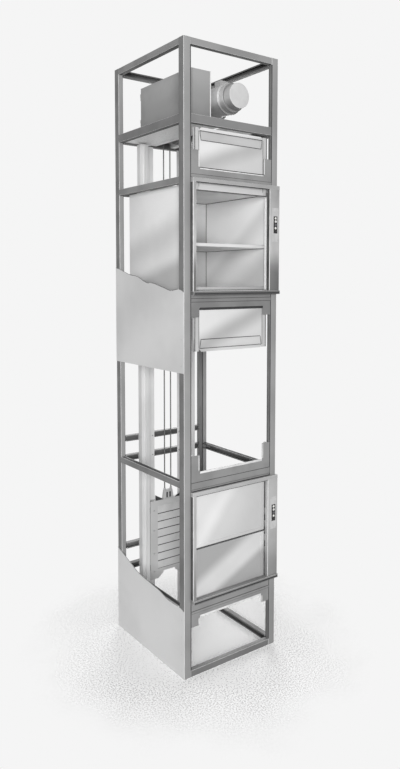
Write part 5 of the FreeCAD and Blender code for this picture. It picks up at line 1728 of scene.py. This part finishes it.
@dataclass
class Studio:
    """Camera, lamps, world and floor.

    Attributes:
        eye: Place of the camera on the lift's axes.
        pitch: Its turn up from straight down, in degrees.
        yaw: Its turn about the upright axis, in degrees.
        focal: Its focal length, in rows of the render.
        centre: The row of the render that it looks along.
        sensor: Height of its sensor in millimetres.
        paper: Colour behind everything.
        floor_radius: Of the floor, in metres.
        world_light: Strength of the light from all round.
    """

    eye: Point = (-3135.6, -4545.7, 3392.0)
    pitch: float = 90 - 3.63
    yaw: float = -35.97
    focal: float = 673.5
    centre: float = 322.9
    sensor: float = 36.0
    paper: str = "f5f5f5"
    floor_radius: float = 4.2
    world_light: float = 0.34

    def build(self) -> None:
        """Sets up everything round the lift."""
        self.camera()
        self.world()
        self.lamps()
        self.floor()
        bpy.context.scene.view_settings.view_transform = "Standard"

    def camera(self) -> None:
        """Places the camera in front of the left post, level with the upper landing."""
        data = bpy.data.cameras.new("camera")
        data.sensor_fit = "VERTICAL"
        data.sensor_width = data.sensor_height = self.sensor
        data.lens = self.focal / RENDER_TALL * self.sensor
        data.shift_y = (self.centre - RENDER_TALL / 2) / RENDER_TALL
        data.clip_end = 100.0
        camera = add_object("camera", data)
        camera.location = at(*self.eye)
        camera.rotation_euler = (math.radians(self.pitch), 0.0, math.radians(self.yaw))
        bpy.context.scene.camera = camera

    @staticmethod
    def seen(tree: bpy.types.NodeTree) -> bpy.types.Node:
        """Tells what is seen from what is lit.

        Args:
            tree: The node tree that asks.

        Returns:
            A node that gives 1 for rays from the camera, a mirror or through glass, and 0 for light.
        """
        path = add(tree, "ShaderNodeLightPath")
        pair = add(tree, "ShaderNodeMath", {
            0: path.outputs["Is Camera Ray"], 1: path.outputs["Is Glossy Ray"]}, operation="MAXIMUM")
        return add(tree, "ShaderNodeMath", {
            0: pair, 1: path.outputs["Is Transmission Ray"]}, operation="MAXIMUM")

    def world(self) -> None:
        """An even white room that looks like paper."""
        world = bpy.data.worlds.new("studio")
        world.use_nodes = True
        tree = world.node_tree
        tree.nodes.clear()
        light = add(tree, "ShaderNodeBackground", {"Color": (1, 1, 1, 1), "Strength": self.world_light})
        paper = add(tree, "ShaderNodeBackground", {"Color": linear(self.paper), "Strength": 1.0})
        both = add(tree, "ShaderNodeMixShader", {0: self.seen(tree), 1: light, 2: paper})
        add(tree, "ShaderNodeOutputWorld", {0: both})
        bpy.context.scene.world = world

    def lamps(self) -> None:
        """A broad lamp high in front, to the left, and a weaker one behind."""
        for name, spot, aim, size, power in (
            ("front_lamp", (-6600, -9880, 4300), (510, 500, 2900), 5.2, 1240.0),
            ("back_lamp", (7500, 9500, 6500), (510, 500, 2800), 6.0, 580.0),
        ):
            data = bpy.data.lights.new(name, "AREA")
            data.shape = "DISK"
            data.size = size
            data.energy = power
            lamp = add_object(name, data)
            lamp.location = at(*spot)
            lamp.rotation_euler = (at(*aim) - at(*spot)).to_track_quat("-Z", "Y").to_euler()

    def floor(self) -> None:
        """A pale speckled floor that fades into the paper."""
        mesh = bmesh.new()
        bmesh.ops.create_circle(mesh, cap_ends=True, segments=96, radius=self.floor_radius)
        data = bpy.data.meshes.new("floor")
        mesh.to_mesh(data)
        mesh.free()
        floor = add_object("floor", data)
        floor.location.z = -0.5 * MM
        made, tree, shader = start_material("floor_screed")
        spot = add(tree, "ShaderNodeTexCoord").outputs["Object"]
        speck = add(tree, "ShaderNodeTexNoise", {
            "Vector": spot, "Scale": 78.0, "Detail": 1.0, "Roughness": 0.9})
        specks = add(tree, "ShaderNodeMapRange", {"Value": speck, "From Min": 0.4, "From Max": 0.54})
        colour = add(tree, "ShaderNodeMix", {
            0: specks, 6: linear("bcbcbc"), 7: linear("ffffff")}, data_type="RGBA")
        tree.links.new(colour.outputs[2], shader.inputs["Base Color"])
        shader.inputs["Roughness"].default_value = 0.9
        glow = add(tree, "ShaderNodeMath", {0: self.seen(tree), 1: 0.25}, operation="MULTIPLY")
        tree.links.new(colour.outputs[2], shader.inputs["Emission Color"])
        tree.links.new(glow.outputs[0], shader.inputs["Emission Strength"])
        distance = add(tree, "ShaderNodeVectorMath", {0: spot}, operation="LENGTH").outputs["Value"]
        wander = add(tree, "ShaderNodeTexNoise", {"Vector": spot, "Scale": 1.3, "Detail": 2.0})
        edge = add(tree, "ShaderNodeMath", {0: wander, 1: 0.8, 2: distance}, operation="MULTIPLY_ADD")
        fade = add(tree, "ShaderNodeMapRange", {
            "Value": edge, "From Min": 1.1, "From Max": 2.1}, interpolation_type="SMOOTHSTEP")
        clear = add(tree, "ShaderNodeBsdfTransparent")
        both = add(tree, "ShaderNodeMixShader", {0: fade, 1: shader, 2: clear})
        tree.links.new(both.outputs[0], tree.nodes["Material Output"].inputs[0])
        data.materials.append(made)


def main() -> None:
    """Dresses the lift and sets up the studio."""
    logging.basicConfig(level=logging.INFO, format="%(name)s: %(message)s")
    Studio().build()
    for node, slot in NODE_SLOT.items():
        finish = NODE_FINISH.get(node) or SLOT_FINISH.get(slot)
        if finish:
            dress(node, finish.value.material())
    Ropes().build()
    Structure().build()
    Guideway().build()
    Surrounds().build()
    for level in Level:
        Landing(level).build()
    Car().build()
    Counterweight().build()
    Machine().build()
    Cabinet().build()


if __name__ == "__main__":
    main()
